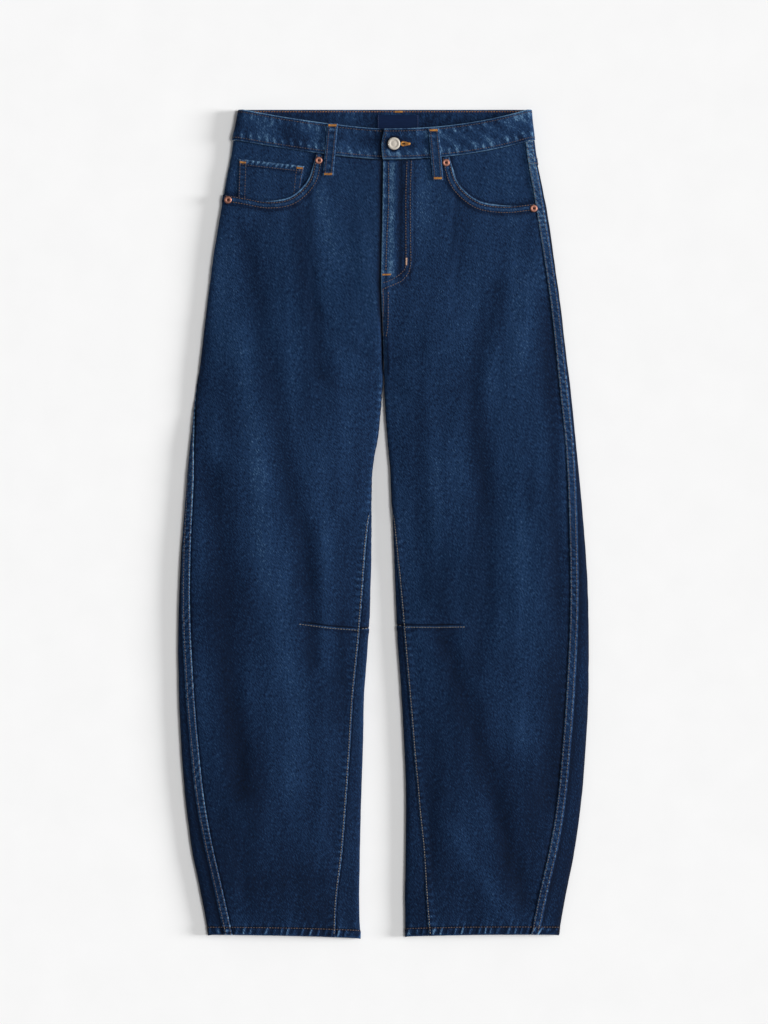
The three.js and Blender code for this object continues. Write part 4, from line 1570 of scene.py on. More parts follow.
def emboss(tree: Tree, shader: bpy.types.Node, strength: float, height: float, pattern: Socket) -> None:
    """Raise a pattern on the surface, by a height in millimetres."""
    feeds = {"Strength": strength, "Distance": height * MM, "Height": pattern}
    tree.links.new(add_node(tree, "ShaderNodeBump", feeds).outputs[0], shader.inputs["Normal"])


@dataclass(frozen=True)
class Denim(Finish):
    """Rinsed indigo twill: white weft specks along a steep diagonal, paler where it is rubbed, and darker
    where shade is painted in.

    The real twill line is about 0.7 mm wide. It is drawn about three times as coarse, because a finer
    one would not show at this distance.
    """

    dark: str = "#040a16"
    middle: str = "#081932"
    light: str = "#1d385b"
    worn: str = "#678cab"
    twill_turn: float = -57.0
    streak: tuple[float, float] = (4.3, 0.95)
    speck: tuple[float, float] = (1.8, 1.0)
    mottle: tuple[float, float] = (14.0, 6.0)
    cloud: tuple[float, float] = (90.0, 45.0)
    stripe: tuple[float, float] = (240.0, 19.0)

    def paint(self, tree: Tree, shader: bpy.types.Node) -> None:
        """Colour the cloth by its weave, clouds, fading, wear and painted shade, and roughen it.

        Args:
            tree: The material's node tree.
            shader: The node that the pattern feeds.
        """
        cloth = add_node(tree, "ShaderNodeUVMap", uv_map="cloth").outputs["UV"]
        streak = noise(tree, cloth, self.streak, self.twill_turn)
        speck = noise(tree, cloth, self.speck, self.twill_turn + 6)
        mottle = noise(tree, cloth, self.mottle, self.twill_turn)
        cloud = noise(tree, cloth, self.cloud, 90, 3)
        stripe = noise(tree, cloth, self.stripe, 90)
        # this attribute carries wear and painted shade; its low values darken the cloth where shade is
        # painted
        wear = add_node(tree, "ShaderNodeAttribute", attribute_name="wear").outputs["Fac"]
        fade = add_node(tree, "ShaderNodeAttribute", attribute_name="fade").outputs["Fac"]
        value = weighted(
            tree, 0.42, (streak, 0.5, 0.95), (speck, 0.5, 0.45), (mottle, 0.5, 0.12), (cloud, 0.5, 0.12),
            (stripe, 0.5, 0.17), (fade, 0.5, 0.2), (wear, 0, 0.48),
        )
        stops = ((0.0, self.dark), (0.34, self.middle), (0.62, self.light), (1.0, self.worn))
        tree.links.new(ramp(tree, value, stops), shader.inputs["Base Color"])
        relief = weighted(tree, 0.5, (streak, 0.5, 0.8), (speck, 0.5, 0.8))
        emboss(tree, shader, 0.5, 0.3, relief)


@dataclass(frozen=True)
class Toned(Finish):
    """A surface that drifts between two tones in blotches, which may be slightly raised.

    Attributes:
        deep: The darkest tone.
        bright: The palest tone.
        blotch: The blotches' length and width in millimetres.
        turn: Their heading in degrees.
        detail: How finely they break up.
        level: Where the usual tone lies between the two.
        contrast: How strongly the blotches change it.
        raised: The strength and height of the blotches' relief, if any.
    """

    deep: str = "#3b302c"
    bright: str = "#776253"
    blotch: tuple[float, float] = (4.0, 4.0)
    turn: float = 0.0
    detail: float = 2.0
    level: float = 0.5
    contrast: float = 1.8
    raised: tuple[float, float] | None = None

    def paint(self, tree: Tree, shader: bpy.types.Node) -> None:
        """Tone the surface by its blotches and raise them.

        Args:
            tree: The material's node tree.
            shader: The node that the pattern feeds.
        """
        place = add_node(tree, "ShaderNodeTexCoord").outputs["Object"]
        blotches = noise(tree, place, self.blotch, self.turn, self.detail)
        value = weighted(tree, self.level, (blotches, 0.5, self.contrast))
        tree.links.new(ramp(tree, value, ((0.0, self.deep), (1.0, self.bright))), shader.inputs["Base Color"])
        if self.raised:
            emboss(tree, shader, *self.raised, blotches)


# Cotton twill denim, rope-dyed and rinsed: a deep matt blue with pale weft flecks on its diagonal
DENIM_FINISH = Denim("rinsed_indigo_denim", roughness=0.86, sheen=0.02, specular=0.08)
# The same denim where a pocket mouth or the fly covers it, unrubbed: as blue, and a little duller
FACING_FINISH = Denim("indigo_denim_inside", roughness=0.88, sheen=0.02, specular=0.08)
# Spun polyester topstitching thread, piece-dyed and washed with the garment: small satin beads, each row
# as bright as its dye was left by the wash, and darker where the stitches sink into the cloth
THREAD_FINISH = Toned("copper_brown_thread", roughness=0.6, specular=0.35)
BAND_THREAD_FINISH = Toned(
    "dark_brown_thread", roughness=0.6, specular=0.3, deep="#29262a", bright="#655650",
)
DULL_THREAD_FINISH = Toned(
    "faded_brown_thread", roughness=0.65, specular=0.3, deep="#36343a", bright="#77706b",
)
LIGHT_THREAD_FINISH = Toned(
    "light_brown_thread", roughness=0.6, specular=0.35, deep="#54504a", bright="#938d82",
)
ORANGE_THREAD_FINISH = Toned("orange_thread", roughness=0.6, specular=0.3, deep="#7d4c22", bright="#b87c40")
NAVY_THREAD_FINISH = Toned("navy_thread", roughness=0.6, specular=0.3, deep="#141f38", bright="#27375a")
# The same thread in satin stitch, packed close: a solid, slightly shiny bar of its full colour
BARTACK_FINISH = Toned("orange_bar_tack", roughness=0.55, specular=0.4, deep="#8a5418", bright="#d0913c")
PALE_THREAD_FINISH = Toned(
    "pale_copper_thread", roughness=0.55, specular=0.4, deep="#a87c66", bright="#e0bfa6",
)
# Damask woven polyester: flat dark navy, with fine ribs across it that are drawn twice as coarse as they
# are, because finer ones would not show
LABEL_FINISH = Toned(
    "woven_navy_label", roughness=0.75, specular=0.06, deep="#0a1731", bright="#122343", blotch=(12.0, 1.2),
    contrast=1.4, raised=(0.4, 0.15),
)
# Woven polyester zip tape: dark navy and ribbed like the label, a little shinier
ZIP_FINISH = Toned(
    "navy_zip_tape", roughness=0.7, deep="#0a1226", bright="#15203a", blotch=(12.0, 0.9), contrast=1.4,
    raised=(0.4, 0.15),
)
# Pressed steel, nickel-plated and tumbled matt: soft silver grey with faint scuffs
BUTTON_FINISH = Toned(
    "matt_silver_button", roughness=0.8, metallic=1.0, deep="#b9b3ab", bright="#dcd6cd", blotch=(1.1, 0.5),
    turn=30, detail=3, level=0.6, contrast=1.2, raised=(0.25, 0.05),
)
# Stamped brass, copper-plated and left bare: warm red-brown that shines on its rim, with faint scuffs
RIVET_FINISH = Toned(
    "copper_rivet", roughness=0.55, metallic=1.0, deep="#70473b", bright="#b98575", blotch=(1.1, 0.5),
    turn=30, detail=3, level=0.6, contrast=1.2, raised=(0.25, 0.05),
)
# The rivet's hollow, with painted shade standing for its hole: a dark red-brown spot
RIVET_HOLLOW_SHADE_FINISH = Toned(
    "rivet_hollow_shade", roughness=0.7, specular=0.2, deep="#1e0a07", bright="#381610",
    blotch=(60, 60), contrast=2.5,
)
# Denim seen through the buttonhole's slit, in its own shade: nearly black
EYELET_FINISH = Toned(
    "eyelet_shadow", roughness=0.95, specular=0.1, deep="#05070c", bright="#0a0e18",
    blotch=(60, 60), contrast=2.5,
)
# Matt white paper, unprinted: plain and pale, with no shine
FLOOR_FINISH = Toned(
    "white_paper", roughness=0.95, specular=0.1, deep="#f2f2f2", bright="#f4f4f4",
    blotch=(60, 60), contrast=2.5,
)


def dress(piece: bpy.types.Object, finish: Finish, slot: str) -> bpy.types.Object:
    """Give a piece its finish, and let it ride with the garment.

    Args:
        piece: The piece.
        finish: Its finish.
        slot: Not used.

    Returns:
        The piece.
    """
    piece.data.materials.clear()
    piece.data.materials.append(finish.material())
    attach(piece, "root")
    return piece


def lay_cloth(grid: Grid, node: str, finish: Finish = DENIM_FINISH, slot: str = "denim") -> bpy.types.Object:
    """Build a piece of cloth and dress it, in place of its solid.

    Args:
        grid: The piece of cloth.
        node: The solid that it replaces.
        finish: Its finish.
        slot: Its slot.

    Returns:
        The piece.
    """
    piece = dress(grid.build(), finish, slot)
    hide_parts(node)
    log.info("%s: %d places", piece.name, grid.places[..., 0].size)
    return piece


def sew(name: str, laid: Sequence[Threads], finish: Finish, slot: str = "thread") -> bpy.types.Object:
    """Join rows of stitches into one dressed piece."""
    return dress(SEWING.joined(name, laid), finish, slot)


# The ends of the knee darts on the back's inner strip
DART_ENDS = {"right": ((-27.2, 374.7), (-17.6, 375.5)), "left": ((22.8, 378.6), (17.4, 378.6))}


@dataclass
class Leg:
    """One half of the garment: its front, back, yoke, pocket facing and back pocket."""

    side: Side
    front: Grid | None = None
    back: Grid | None = None
    yoke: Grid | None = None
    facing: Grid | None = None
    pocket: Grid | None = None

    def work_out(self) -> None:
        """Work out the panels' places."""
        side, word = self.side, self.side.word
        inseam, outseam = (lambda y: FORM.inseam(side, y)), (lambda y: FORM.outseam(side, y))
        hem, band = (lambda g, x: FORM.hem_line(g)), (lambda g: FORM.band_bottom(g, side.value))
        front_rows, back_rows = (
            np.concatenate([LEG_ROWS, seat_rows(CROTCH, head)]) for head in (BAND_SIDE, YOKE_SIDE)
        )
        self.front = Panel(
            f"front_{word}_cloth", side, front_rows, inseam, outseam,
            lambda g, x: np.minimum(band(g), mouth_height(side, x)), hem, front_relief,
            columns=98, roundness=60, close=((0, 44, 36), (74, 106, 56)), bent=True,
        ).grid()
        self.back = Panel(
            f"back_{word}_cloth", side, back_rows, outseam,
            lambda y: np.where(y < CROTCH, 2 + FORM.inseam(side, y), 2.0),
            lambda g, x: FORM.yoke_seam(g), hem, back_relief,
            near_seam=(0.15, 0.7, 1.3, 2.1, 3.2, 4.6, 6.2, 7.6, 8.6, 9.4, 10.2, 11.2, 13.0),
            columns=72, roundness=100, grain=Layer.BACK,
        ).grid()
        self.yoke = Panel(
            f"back_yoke_{word}_cloth", side, seat_rows(YOKE_SIDE, BAND_SIDE), outseam, lambda y: 2.0 + 0 * y,
            lambda g, x: band(g), lambda g, x: FORM.yoke_seam(g), yoke_relief, columns=56,
            roundness=100, grain=Layer.BACK,
        ).grid()
        self.facing = Panel(
            f"pocket_facing_{word}_cloth", side, seat_rows(FACING_FOOT, BAND_SIDE),
            lambda y: FACING_START + 0 * y, outseam, lambda g, x: band(g),
            lambda g, x: np.minimum(np.maximum(FACING_FOOT, mouth_height(side, x, FACING_TUCK)), band(g) - 4),
            facing_relief, columns=50, roundness=60, depth=1.55,
        ).grid()
        self.facing.wall = 0.9
        self.pocket = self.back_pocket()

    def back_pocket(self) -> Grid:
        """Work out the back pocket, which tapers to a blunt point.

        Returns:
            The grid.
        """
        sign = self.side.value
        down, over = unit_grid(36, 44)
        shape = BACK_POCKET
        left, right = (mix(low, high, 1 - down) for high, low in (shape["inner"], shape["outer"]))
        x = mix(left, right, over)
        point, shoulder, (width, length) = shape["point"], shape["shoulder"], shape["size"]
        foot = np.interp(x, (shape["inner"][1], point[0], shape["outer"][1]), (shoulder, point[1], shoulder))
        y = mix(foot, shape["top"], down)
        places, normals = FORM.lay(Layer.BACK, sign * x, y, POCKET_LIFT - 0.1)
        edge = np.minimum(np.minimum(over, 1 - over) * width, np.minimum(down, 1 - down) * length)
        places = places - normals * (0.5 * bump(edge, 0.8))[..., None]
        flat = np.stack([sign * -x, y], axis=-1)
        wear = 0.45 * bump(edge - 0.6, 1.2) + Ripples(15 + sign, 0.1)(x, y)
        return Grid(f"back_pocket_{self.side.word}_cloth", places, normals, flat, wear, 0.9, flip=sign > 0)

    def build(self) -> None:
        """Build the panels with their sewing."""
        word = self.side.word
        panels = {
            "front": (self.front, (0.22, 0.958), 0.193), "back": (self.back, (0.31, 0.94), 0.255),
            "back_yoke": (self.yoke, (0.215, 0.064), 0.0107),
            "pocket_facing": (self.facing, (0.125, 0.095), 0.0093),
            "back_pocket": (self.pocket, (0.142, 0.126), 0.0157),
        }
        for kind, (grid, flat, area) in panels.items():
            finish = FACING_FINISH if kind == "pocket_facing" else DENIM_FINISH
            piece = lay_cloth(grid, f"{kind}_{word}", finish)
            self.sewing(kind, grid)

    def sewing(self, kind: str, grid: Grid) -> list[bpy.types.Object]:
        """Sew the rows that lie on one panel.

        Args:
            kind: Which panel it is.
            grid: The piece of cloth.

        Returns:
            The sewn pieces.
        """
        word, side, sign = self.side.word, self.side, self.side.value
        rows, dull, pale = [], [], []
        if kind == "front":
            rows.append(SEWING.row(*edge_line(grid, HEM_DEPTH), 3))
            pale.append(SEWING.row(*between(seam_line(grid, 2.0), 2, 516), 4))
            mouth = fine_path(POCKET_MOUTHS[word])
            for distance in (2.2, 8.4):
                path = beside(mouth, sign * distance)
                path = path[self.on_front(path)]
                rows.append(surface_row([grid], path, int(distance)))
            dart = beside(fine_path(KNEE_DARTS[word], curved=False), sign * 1.9)
            pale.append(surface_row([grid], dart[np.abs(dart[:, 0]) > self.seam_x(375) + 1.5], 5))
        if kind == "back":
            pale.append(surface_row([grid], fine_path(DART_ENDS[word], curved=False), 14))
            rows.append(SEWING.row(*edge_line(grid, HEM_DEPTH), 6))
            for distance in (1.6, 8.0):
                dull.append(SEWING.row(*seam_line(grid, distance), 7))
            rows.append(SEWING.row(*between(seam_line(grid, 4.0, True), CROTCH + 8, 900), 8))
        if kind == "back_yoke":
            for distance in (1.8, 8.0):
                rows.append(SEWING.row(*edge_line(grid, distance), 9))
                dull.append(SEWING.row(*seam_line(grid, distance), 10))
        if kind == "back_pocket":
            for distance in (2.2, 8.4):
                for from_end in (False, True):
                    rows.append(SEWING.row(*seam_line(grid, distance, from_end), 11))
                rows.append(SEWING.row(*edge_line(grid, distance), 12))
            rows.append(SEWING.row(*edge_line(grid, 9.5, True), 13))
        groups = (
            ("stitching", rows, THREAD_FINISH), ("seam_stitching", dull, DULL_THREAD_FINISH),
            ("pale_stitching", pale, LIGHT_THREAD_FINISH),
        )
        return [sew(f"{name}_{kind}_{word}", laid, finish) for name, laid, finish in groups if laid]

    def on_front(self, path: Array) -> Array:
        """Return which points of a path lie on this front, between the waistband and the outseam.

        Args:
            path: The path's points.

        Returns:
            True for each point that does.
        """
        share = FORM.share(FORM.section(self.side.value, path[:, 1]), np.abs(path[:, 0]))
        seam = FORM.outseam(self.side, path[:, 1])
        inside = FORM.outer(path[:, 1]) - np.abs(path[:, 0]) > 2.0
        below = path[:, 1] < FORM.band_bottom(share, self.side.value) - 1
        return (share < np.minimum(seam, 0.999)) & inside & below

    def seam_x(self, y: float) -> float:
        """Return the inseam's distance from the centre line at a height.

        Args:
            y: The height from the hems.

        Returns:
            The distance.
        """
        height = np.array([float(y)])
        section = FORM.section(self.side.value, height)
        return float(FORM.across(section, FORM.inseam(self.side, height))[0])


@dataclass
class CoinPocket:
    """The small pocket inside the right pocket mouth."""

    steps: tuple[int, int] = (34, 46)
    wall: float = 0.45
    tucked: float = 5.0  # how far it reaches under the pocket mouth

    def build(self) -> None:
        """Build the pocket with its stitching and corner bar tacks."""
        down, over = unit_grid(*self.steps)
        (x0, y0), (x1, y1), (x2, _), (x3, _) = COIN_POCKET
        x = mix(mix(x3, x2, over), mix(x0, x1, over), down)
        mouth = mouth_height(Side.RIGHT, np.abs(x))
        y = mix(mouth - self.tucked, mix(y0, y1, over), down)
        below = smooth(4.0, -1.0, y - mouth)
        from_top = mix(y0, y1, over) - y
        from_side = np.minimum(x - mix(x3, x0, down), mix(x2, x1, down) - x)
        puckers = 0.12 * np.exp(-from_top / 6) * wavering(x, 7, 201)
        lift = -mix(0.35, 1.04, below) + puckers + 0.25 * bump(from_top - 2.5, 3.2) * (1 - below)
        lift = lift - 0.35 * bump(np.minimum(from_top, from_side), 0.7)
        places, normals = FORM.lay(Layer.FRONT, x, y, lift)
        # painted shade: the part under the pocket mouth is a little darker
        wear = 0.7 * bump(from_top - 0.6, 0.9) + 0.4 * bump(from_side - 0.4, 0.8) + 3 * puckers - 0.15 * below
        rope = np.maximum(wavering(x + 0.7 * from_top, 6.2, 203), 0)
        wear += 0.8 * rope * bump(from_top - 2.6, 2.4) * (1 - below)
        # painted shade: the dark line below the turned-down top
        wear += 0.3 * wavering(y, 6.5, 207) * bump(from_side - 5, 3) - 0.4 * bump(from_top - 7.9, 1.2)
        grid = Grid("coin_pocket_cloth", places, normals, np.stack([x, y], axis=-1), wear, self.wall)
        piece = lay_cloth(grid, "coin_pocket")
        rows = [SEWING.row(*edge_line(grid, 6.4, True), 21)]
        for distance in (1.6, 8.6):
            for from_end in (False, True):
                rows.append(SEWING.row(*seam_line(grid, distance, from_end), 22))
        sewn = sew("stitching_coin_pocket", rows, BAND_THREAD_FINISH)
        bars = []
        for end, heading in ((0, 1), (-1, -1)):
            corner, normal = grid.places[-3, end], grid.normals[-3, end]
            start = corner + (heading * 1.4, -0.8, 0.15)
            finish = start + (heading * 7.2, heading * -0.7, 0.2)
            bars.append(SEWING.bar(start, finish, normal, 3.0, 0.4))
        tacks = sew("bartacks_coin_pocket", bars, BARTACK_FINISH, "bartack")


@dataclass
class Waistband:
    """The waistband round the whole waist, its left end lapped over its right end."""

    step: float = 1.7
    face: int = 19  # how many of the section's points lie on the outer face
    section: tuple[tuple[float, float], ...] = (
        (0.0, 1.3), (0.004, 0.7), (0.014, 0.25), (0.03, 0.05), (0.07, 0), (0.12, 0), (0.2, 0), (0.3, 0),
        (0.4, 0), (0.5, 0), (0.6, 0), (0.7, 0), (0.8, 0), (0.88, 0), (0.93, 0), (0.97, 0.05), (0.986, 0.25),
        (0.996, 0.7), (1.0, 1.3), (0.996, 2.0), (0.97, 2.5), (0.8, 2.6), (0.6, 2.6), (0.4, 2.6), (0.2, 2.6),
        (0.03, 2.5), (0.004, 2.0), (0.0, 1.3),
    )
    grid: Grid | None = None

    def stations(self) -> tuple[Array, Array, Array]:
        """Return the sign, g and lapping of each station, from the left end round to the right end.

        Returns:
            The sign, g, and 1 where the band is lapped under, for each station.
        """
        lap = float(FORM.share(FORM.section(1, BAND_FRONT_CENTRE), LAP["under"]))
        sign, g, under = [], [], []
        for side_sign, start, end, is_under in ((1, LAP["over"], 2, 0), (-1, 2, 0, 0), (1, 0, lap, 1)):
            fine = np.linspace(start, end, 600)
            track = FORM.point(side_sign, FORM.band_bottom(fine, side_sign) + 19, fine)
            arcs = lengths(track)
            count = int(arcs[-1] / self.step)
            stops = np.interp(np.linspace(0, arcs[-1], count + 1), arcs, fine)[0 if not len(g) else 1 :]
            g.extend(stops)
            sign.extend([side_sign] * len(stops))
            under.extend([is_under] * len(stops))
        return np.array(sign, float), np.array(g), np.array(under)

    @staticmethod
    def proud(sign: Array, x: Array, under: Array, g: Array) -> Array:
        """Return how far the band stands above the panels, more or less at the lap.

        Args:
            sign: -1 on the right half, 1 on the left.
            x: Distances to the wearer's left.
            under: 1 where the band is lapped under.
            g: Places round the leg's ring.

        Returns:
            The rise in millimetres.
        """
        near = 1 - smooth(LAP["full"], LAP["level"], np.abs(x))
        front = BAND_PROUD + np.where(sign > 0, LAP["rise"], -LAP["rise"]) * near
        return np.where(under > 0, BAND_PROUD - LAP["rise"], np.where(g > 1, BAND_PROUD, front))

    def build(self) -> None:
        """Build the band as one closed strip, with its sewing."""
        sign, g, under = (values[:, None] for values in self.stations())
        share, depth = np.array(self.section).T
        y = FORM.band_bottom(g, sign) + SEAM_GAP + BAND_HEIGHT * share[None, :]
        g, sign, under = (np.broadcast_to(values, y.shape) for values in (g, sign, under))
        base, normals = FORM.point(sign, y, g), FORM.normal(sign, y, g)
        along = lengths(base[:, len(share) // 3])[:, None]
        proud = self.proud(sign, base[..., 0], under, g)
        outer = np.arange(len(share)) < self.face
        up, down = share * BAND_HEIGHT, (1 - share) * BAND_HEIGHT
        cloth = np.broadcast_arrays(along, up)
        rope = np.sin(2 * math.pi * (along / 10.2 + up / 30) + 0.9 * wavering(along, 61, 211))
        rope_top = np.sin(2 * math.pi * (along / 9.4 - down / 22) + 0.9 * wavering(along, 53, 221))
        low, high = 1 - smooth(9, 13, up), 1 - smooth(9, 12, down)
        raised = 0.16 * low + 0.12 * high + 0.16 * low * rope + 0.14 * high * rope_top
        raised = raised - 0.2 * (bump(up - 2.2, 1.0) + bump(down - 2.2, 1.0))
        raised = raised + Ripples(16, 0.12, 14, 60, 1)(*cloth)
        lift = proud - depth + np.where(outer, raised, 0) * (normals[..., 2] > -0.3)
        places = base + normals * lift[..., None]
        narrower = 3.6 * np.clip(share, 0, 1) * smooth(110, 181, np.abs(places[..., 0])) * (sign < 0)
        places[..., 0] += narrower
        places[..., 0] += np.interp(share, (0, 0.5, 1), (0.4, -1.7, 2.5)) * np.exp(-along / 16)
        wear = 0.75 * bump(up - 0.2, 0.65) + 0.8 * bump(down - 0.3, 0.7)
        # painted shade: dark lines along the stitch rows near both edges
        wear = wear - 0.3 * (bump(up - 3.4, 1) + bump(down - 2.8, 1))
        streaks = np.clip(0.75 + 0.4 * Ripples(17, 0.8, 14, 70, 1)(*cloth), 0.25, 1.1)
        wear = wear + low * 0.95 * np.maximum(rope, 0) ** 2 * streaks * smooth(1, 5, up)
        wear = wear + high * 0.55 * np.maximum(rope_top, 0) ** 2 * streaks * smooth(1, 5, down)
        drag = np.maximum(wavering(0.66 * np.abs(along) + 0.75 * up, 13, 19), 0)
        wear = wear + np.where(sign > 0, 0.4, 0.12) * drag * smooth(0, 4, up) * smooth(0, 4, down)
        from_button = np.hypot(base[..., 0] - BUTTON_AT[0], y - BUTTON_AT[1])
        # painted shadow: a dark ring round the button's rim
        wear = wear - 1.1 * bump(from_button - 7.6, 1.3) * (g < 1) * (sign > 0) * (under == 0)
        wear = wear + Ripples(18, 0.14, 20, 90, 1)(*cloth)
        ends = np.minimum(along, along[-1] - along)
        # painted shadow: the right end darkens beside the lapped left end's edge; the inner face is darkened
        # all over with painted shade
        tucked = (sign < 0) * bump(base[..., 0] + 0.5, 4.5) * (g < 1)
        wear = np.where(outer, wear + 0.85 * bump(ends - 0.6, 1.0) - tucked, wear * 0.7 - 0.2)
        round_it = np.cumsum(np.hypot(np.diff(up, prepend=up[0]), np.diff(depth, prepend=depth[0])))
        flat = np.stack(np.broadcast_arrays(along, round_it[None, :]), axis=-1)
        self.grid = Grid("waistband_cloth", places, normals, flat, np.clip(wear, -1, 1), closed=True)
        piece = lay_cloth(self.grid, "waistband")
        self.sewing(along[:, 0])

    def sewing(self, along: Array) -> list[bpy.types.Object]:
        """Sew the rows inside the band's edges and round its lapped end.

        Args:
            along: The stations' distances along the band.

        Returns:
            The sewn pieces.
        """
        grid = self.grid
        outer = grid.part(slice(None), slice(self.face))
        lines = [seam_line(outer, 4.4), seam_line(outer, 3.8, True)]
        shown = along < along[-1] - LAP["under"]
        rows = [SEWING.row(places[shown], normals[shown], 31) for places, normals in lines]
        end = int(np.searchsorted(along, 2.2))
        rows.append(SEWING.row(outer.places[end, 3:16], outer.normals[end, 3:16], 32))
        inner = grid.part(slice(None), slice(self.face + 1, -1), -1)
        places, normals = seam_line(inner, 1.2)
        behind = np.linalg.norm(places - outer.places[:, -4], axis=1) > 0
        behind &= np.abs(np.gradient(places[:, 0])) > 0.2
        half = (along > 150) & (along < along[-1] - 190)
        orange = SEWING.row(places[behind & half], normals[behind & half], 33)
        tack = places[int(np.argmin(np.abs(places[:, 0] - 18.5) + 1e3 * ~(behind & half)))]
        bar = SEWING.bar(tack - (4.6, 0, 0), tack + (4.6, 0, 0), (0, 0, 1), 2.6)
        return [
            sew("stitching_waistband", rows, BAND_THREAD_FINISH),
            sew("stitching_band_inside", [orange], ORANGE_THREAD_FINISH),
            sew("bartack_centre_back", [bar], BARTACK_FINISH, "bartack"),
        ]


@dataclass
class BeltLoop:
    """A folded strip that climbs from a panel on to the waistband."""

    name: str
    layer: Layer
    top: tuple[float, float]
    bottom: tuple[float, float]
    front_wall: float = 1.9
    back_wall: float = 1.15
    section: Path = (
        (-6.5, 0.25), (-6.4, 0.8), (-5.9, 0.98), (-4.6, 1.0), (-3, 0.97), (-1, 0.86), (1, 0.86),
        (3, 0.97), (4.6, 1.0), (5.9, 0.98), (6.4, 0.8), (6.5, 0.25), (6.0, 0.0), (2, 0.0),
        (-2, 0.0), (-6.0, 0.0), (-6.5, 0.25),
    )

    def build(self) -> None:
        """Build the loop with its two rows of stitching and its bar tacks."""
        front = self.layer is Layer.FRONT
        sign = 1.0 if self.top[0] > 0 else -1.0
        wall = self.front_wall if front else self.back_wall
        share = FORM.share(FORM.section(sign, self.bottom[1]), abs(self.bottom[0]))
        seam = float(FORM.band_bottom(share if front else np.array(1.5), sign))
        x_top = abs(self.top[0])
        on_band = (float(Waistband.proud(sign, x_top, 0, 0.3)) if front else BAND_PROUD) + SEAM_GAP
        slack = 0.5 if front else 0.0
        stops = (self.bottom[1], seam - 8, seam - 4, seam - 1, seam + 12, seam + 26, self.top[1])
        lifts = (
            0.35, 0.3 + slack * 0.6, 0.3 + slack,
            on_band + 0.1, on_band + slack, on_band + slack * 0.6, on_band,
        )
        y = np.linspace(self.bottom[1], self.top[1], 56)
        lift = np.interp(y, stops, lifts)
        lift = np.convolve(np.pad(lift, 2, mode="edge"), np.ones(5) / 5, mode="valid")[:, None]
        offset, height = np.array(self.section).T
        slope = (self.top[0] - self.bottom[0]) / (self.top[1] - self.bottom[1])
        ends = np.minimum(y - y[0], y[-1] - y)[:, None]
        pucker_y = wavering(y, 6.5, 230 + int(self.bottom[0]))[:, None]
        x = self.bottom[0] + slope * (y[:, None] - self.bottom[1]) + offset[None, :]
        edge = np.abs(offset)[None, :] > 4
        rise = lift + wall * height[None, :] * (1 - 0.25 * bump(ends, 1.2))
        rise = rise + 0.12 * pucker_y * edge * (height > 0.5)
        places, normals = FORM.lay(self.layer, x, y[:, None] + 0 * x, rise)
        wear = 0.5 * bump(np.abs(offset) - 6.2, 0.7) + 0.3 * pucker_y * bump(np.abs(offset) - 5, 1.6)
        wear += (0.3 * wavering(y, 9, 260 + int(self.top[0])) + 0.1)[:, None] * bump(np.abs(offset) - 1, 3)
        wear = np.clip((wear + 0.25 * bump(ends, 1.2)) * (height > 0.5) + 0 * x, -1, 1)
        flat = np.stack(np.broadcast_arrays(offset[None, :] + 40 * self.top[0], y[:, None]), axis=-1)
        grid = Grid(f"belt_loop_{self.name}_cloth", places, normals, flat, wear, closed=True)
        piece = lay_cloth(grid, f"belt_loop_{self.name}")
        sewing = [self.stitching(grid), self.bartacks(grid)]

    def stitching(self, grid: Grid) -> bpy.types.Object:
        """Sew a row inside each long edge.

        Args:
            grid: The piece of cloth.

        Returns:
            The sewn piece.
        """
        outer = grid.part(slice(3, -3), slice(2, 10))
        rows = [SEWING.row(*seam_line(outer, 2.1, from_end), 41, 2.7) for from_end in (False, True)]
        return sew(f"stitching_belt_loop_{self.name}", rows, BAND_THREAD_FINISH)

    def bartacks(self, grid: Grid) -> bpy.types.Object:
        """Tack both ends across the loop's width.

        Args:
            grid: The piece of cloth.

        Returns:
            The sewn piece.
        """
        places, normals = grid.places, grid.normals
        bars = [SEWING.bar(places[row, 3], places[row, 8], normals[row, 6], 3.2, 0.3) for row in (2, -3)]
        return sew(f"bartacks_belt_loop_{self.name}", bars, BARTACK_FINISH, "bartack")


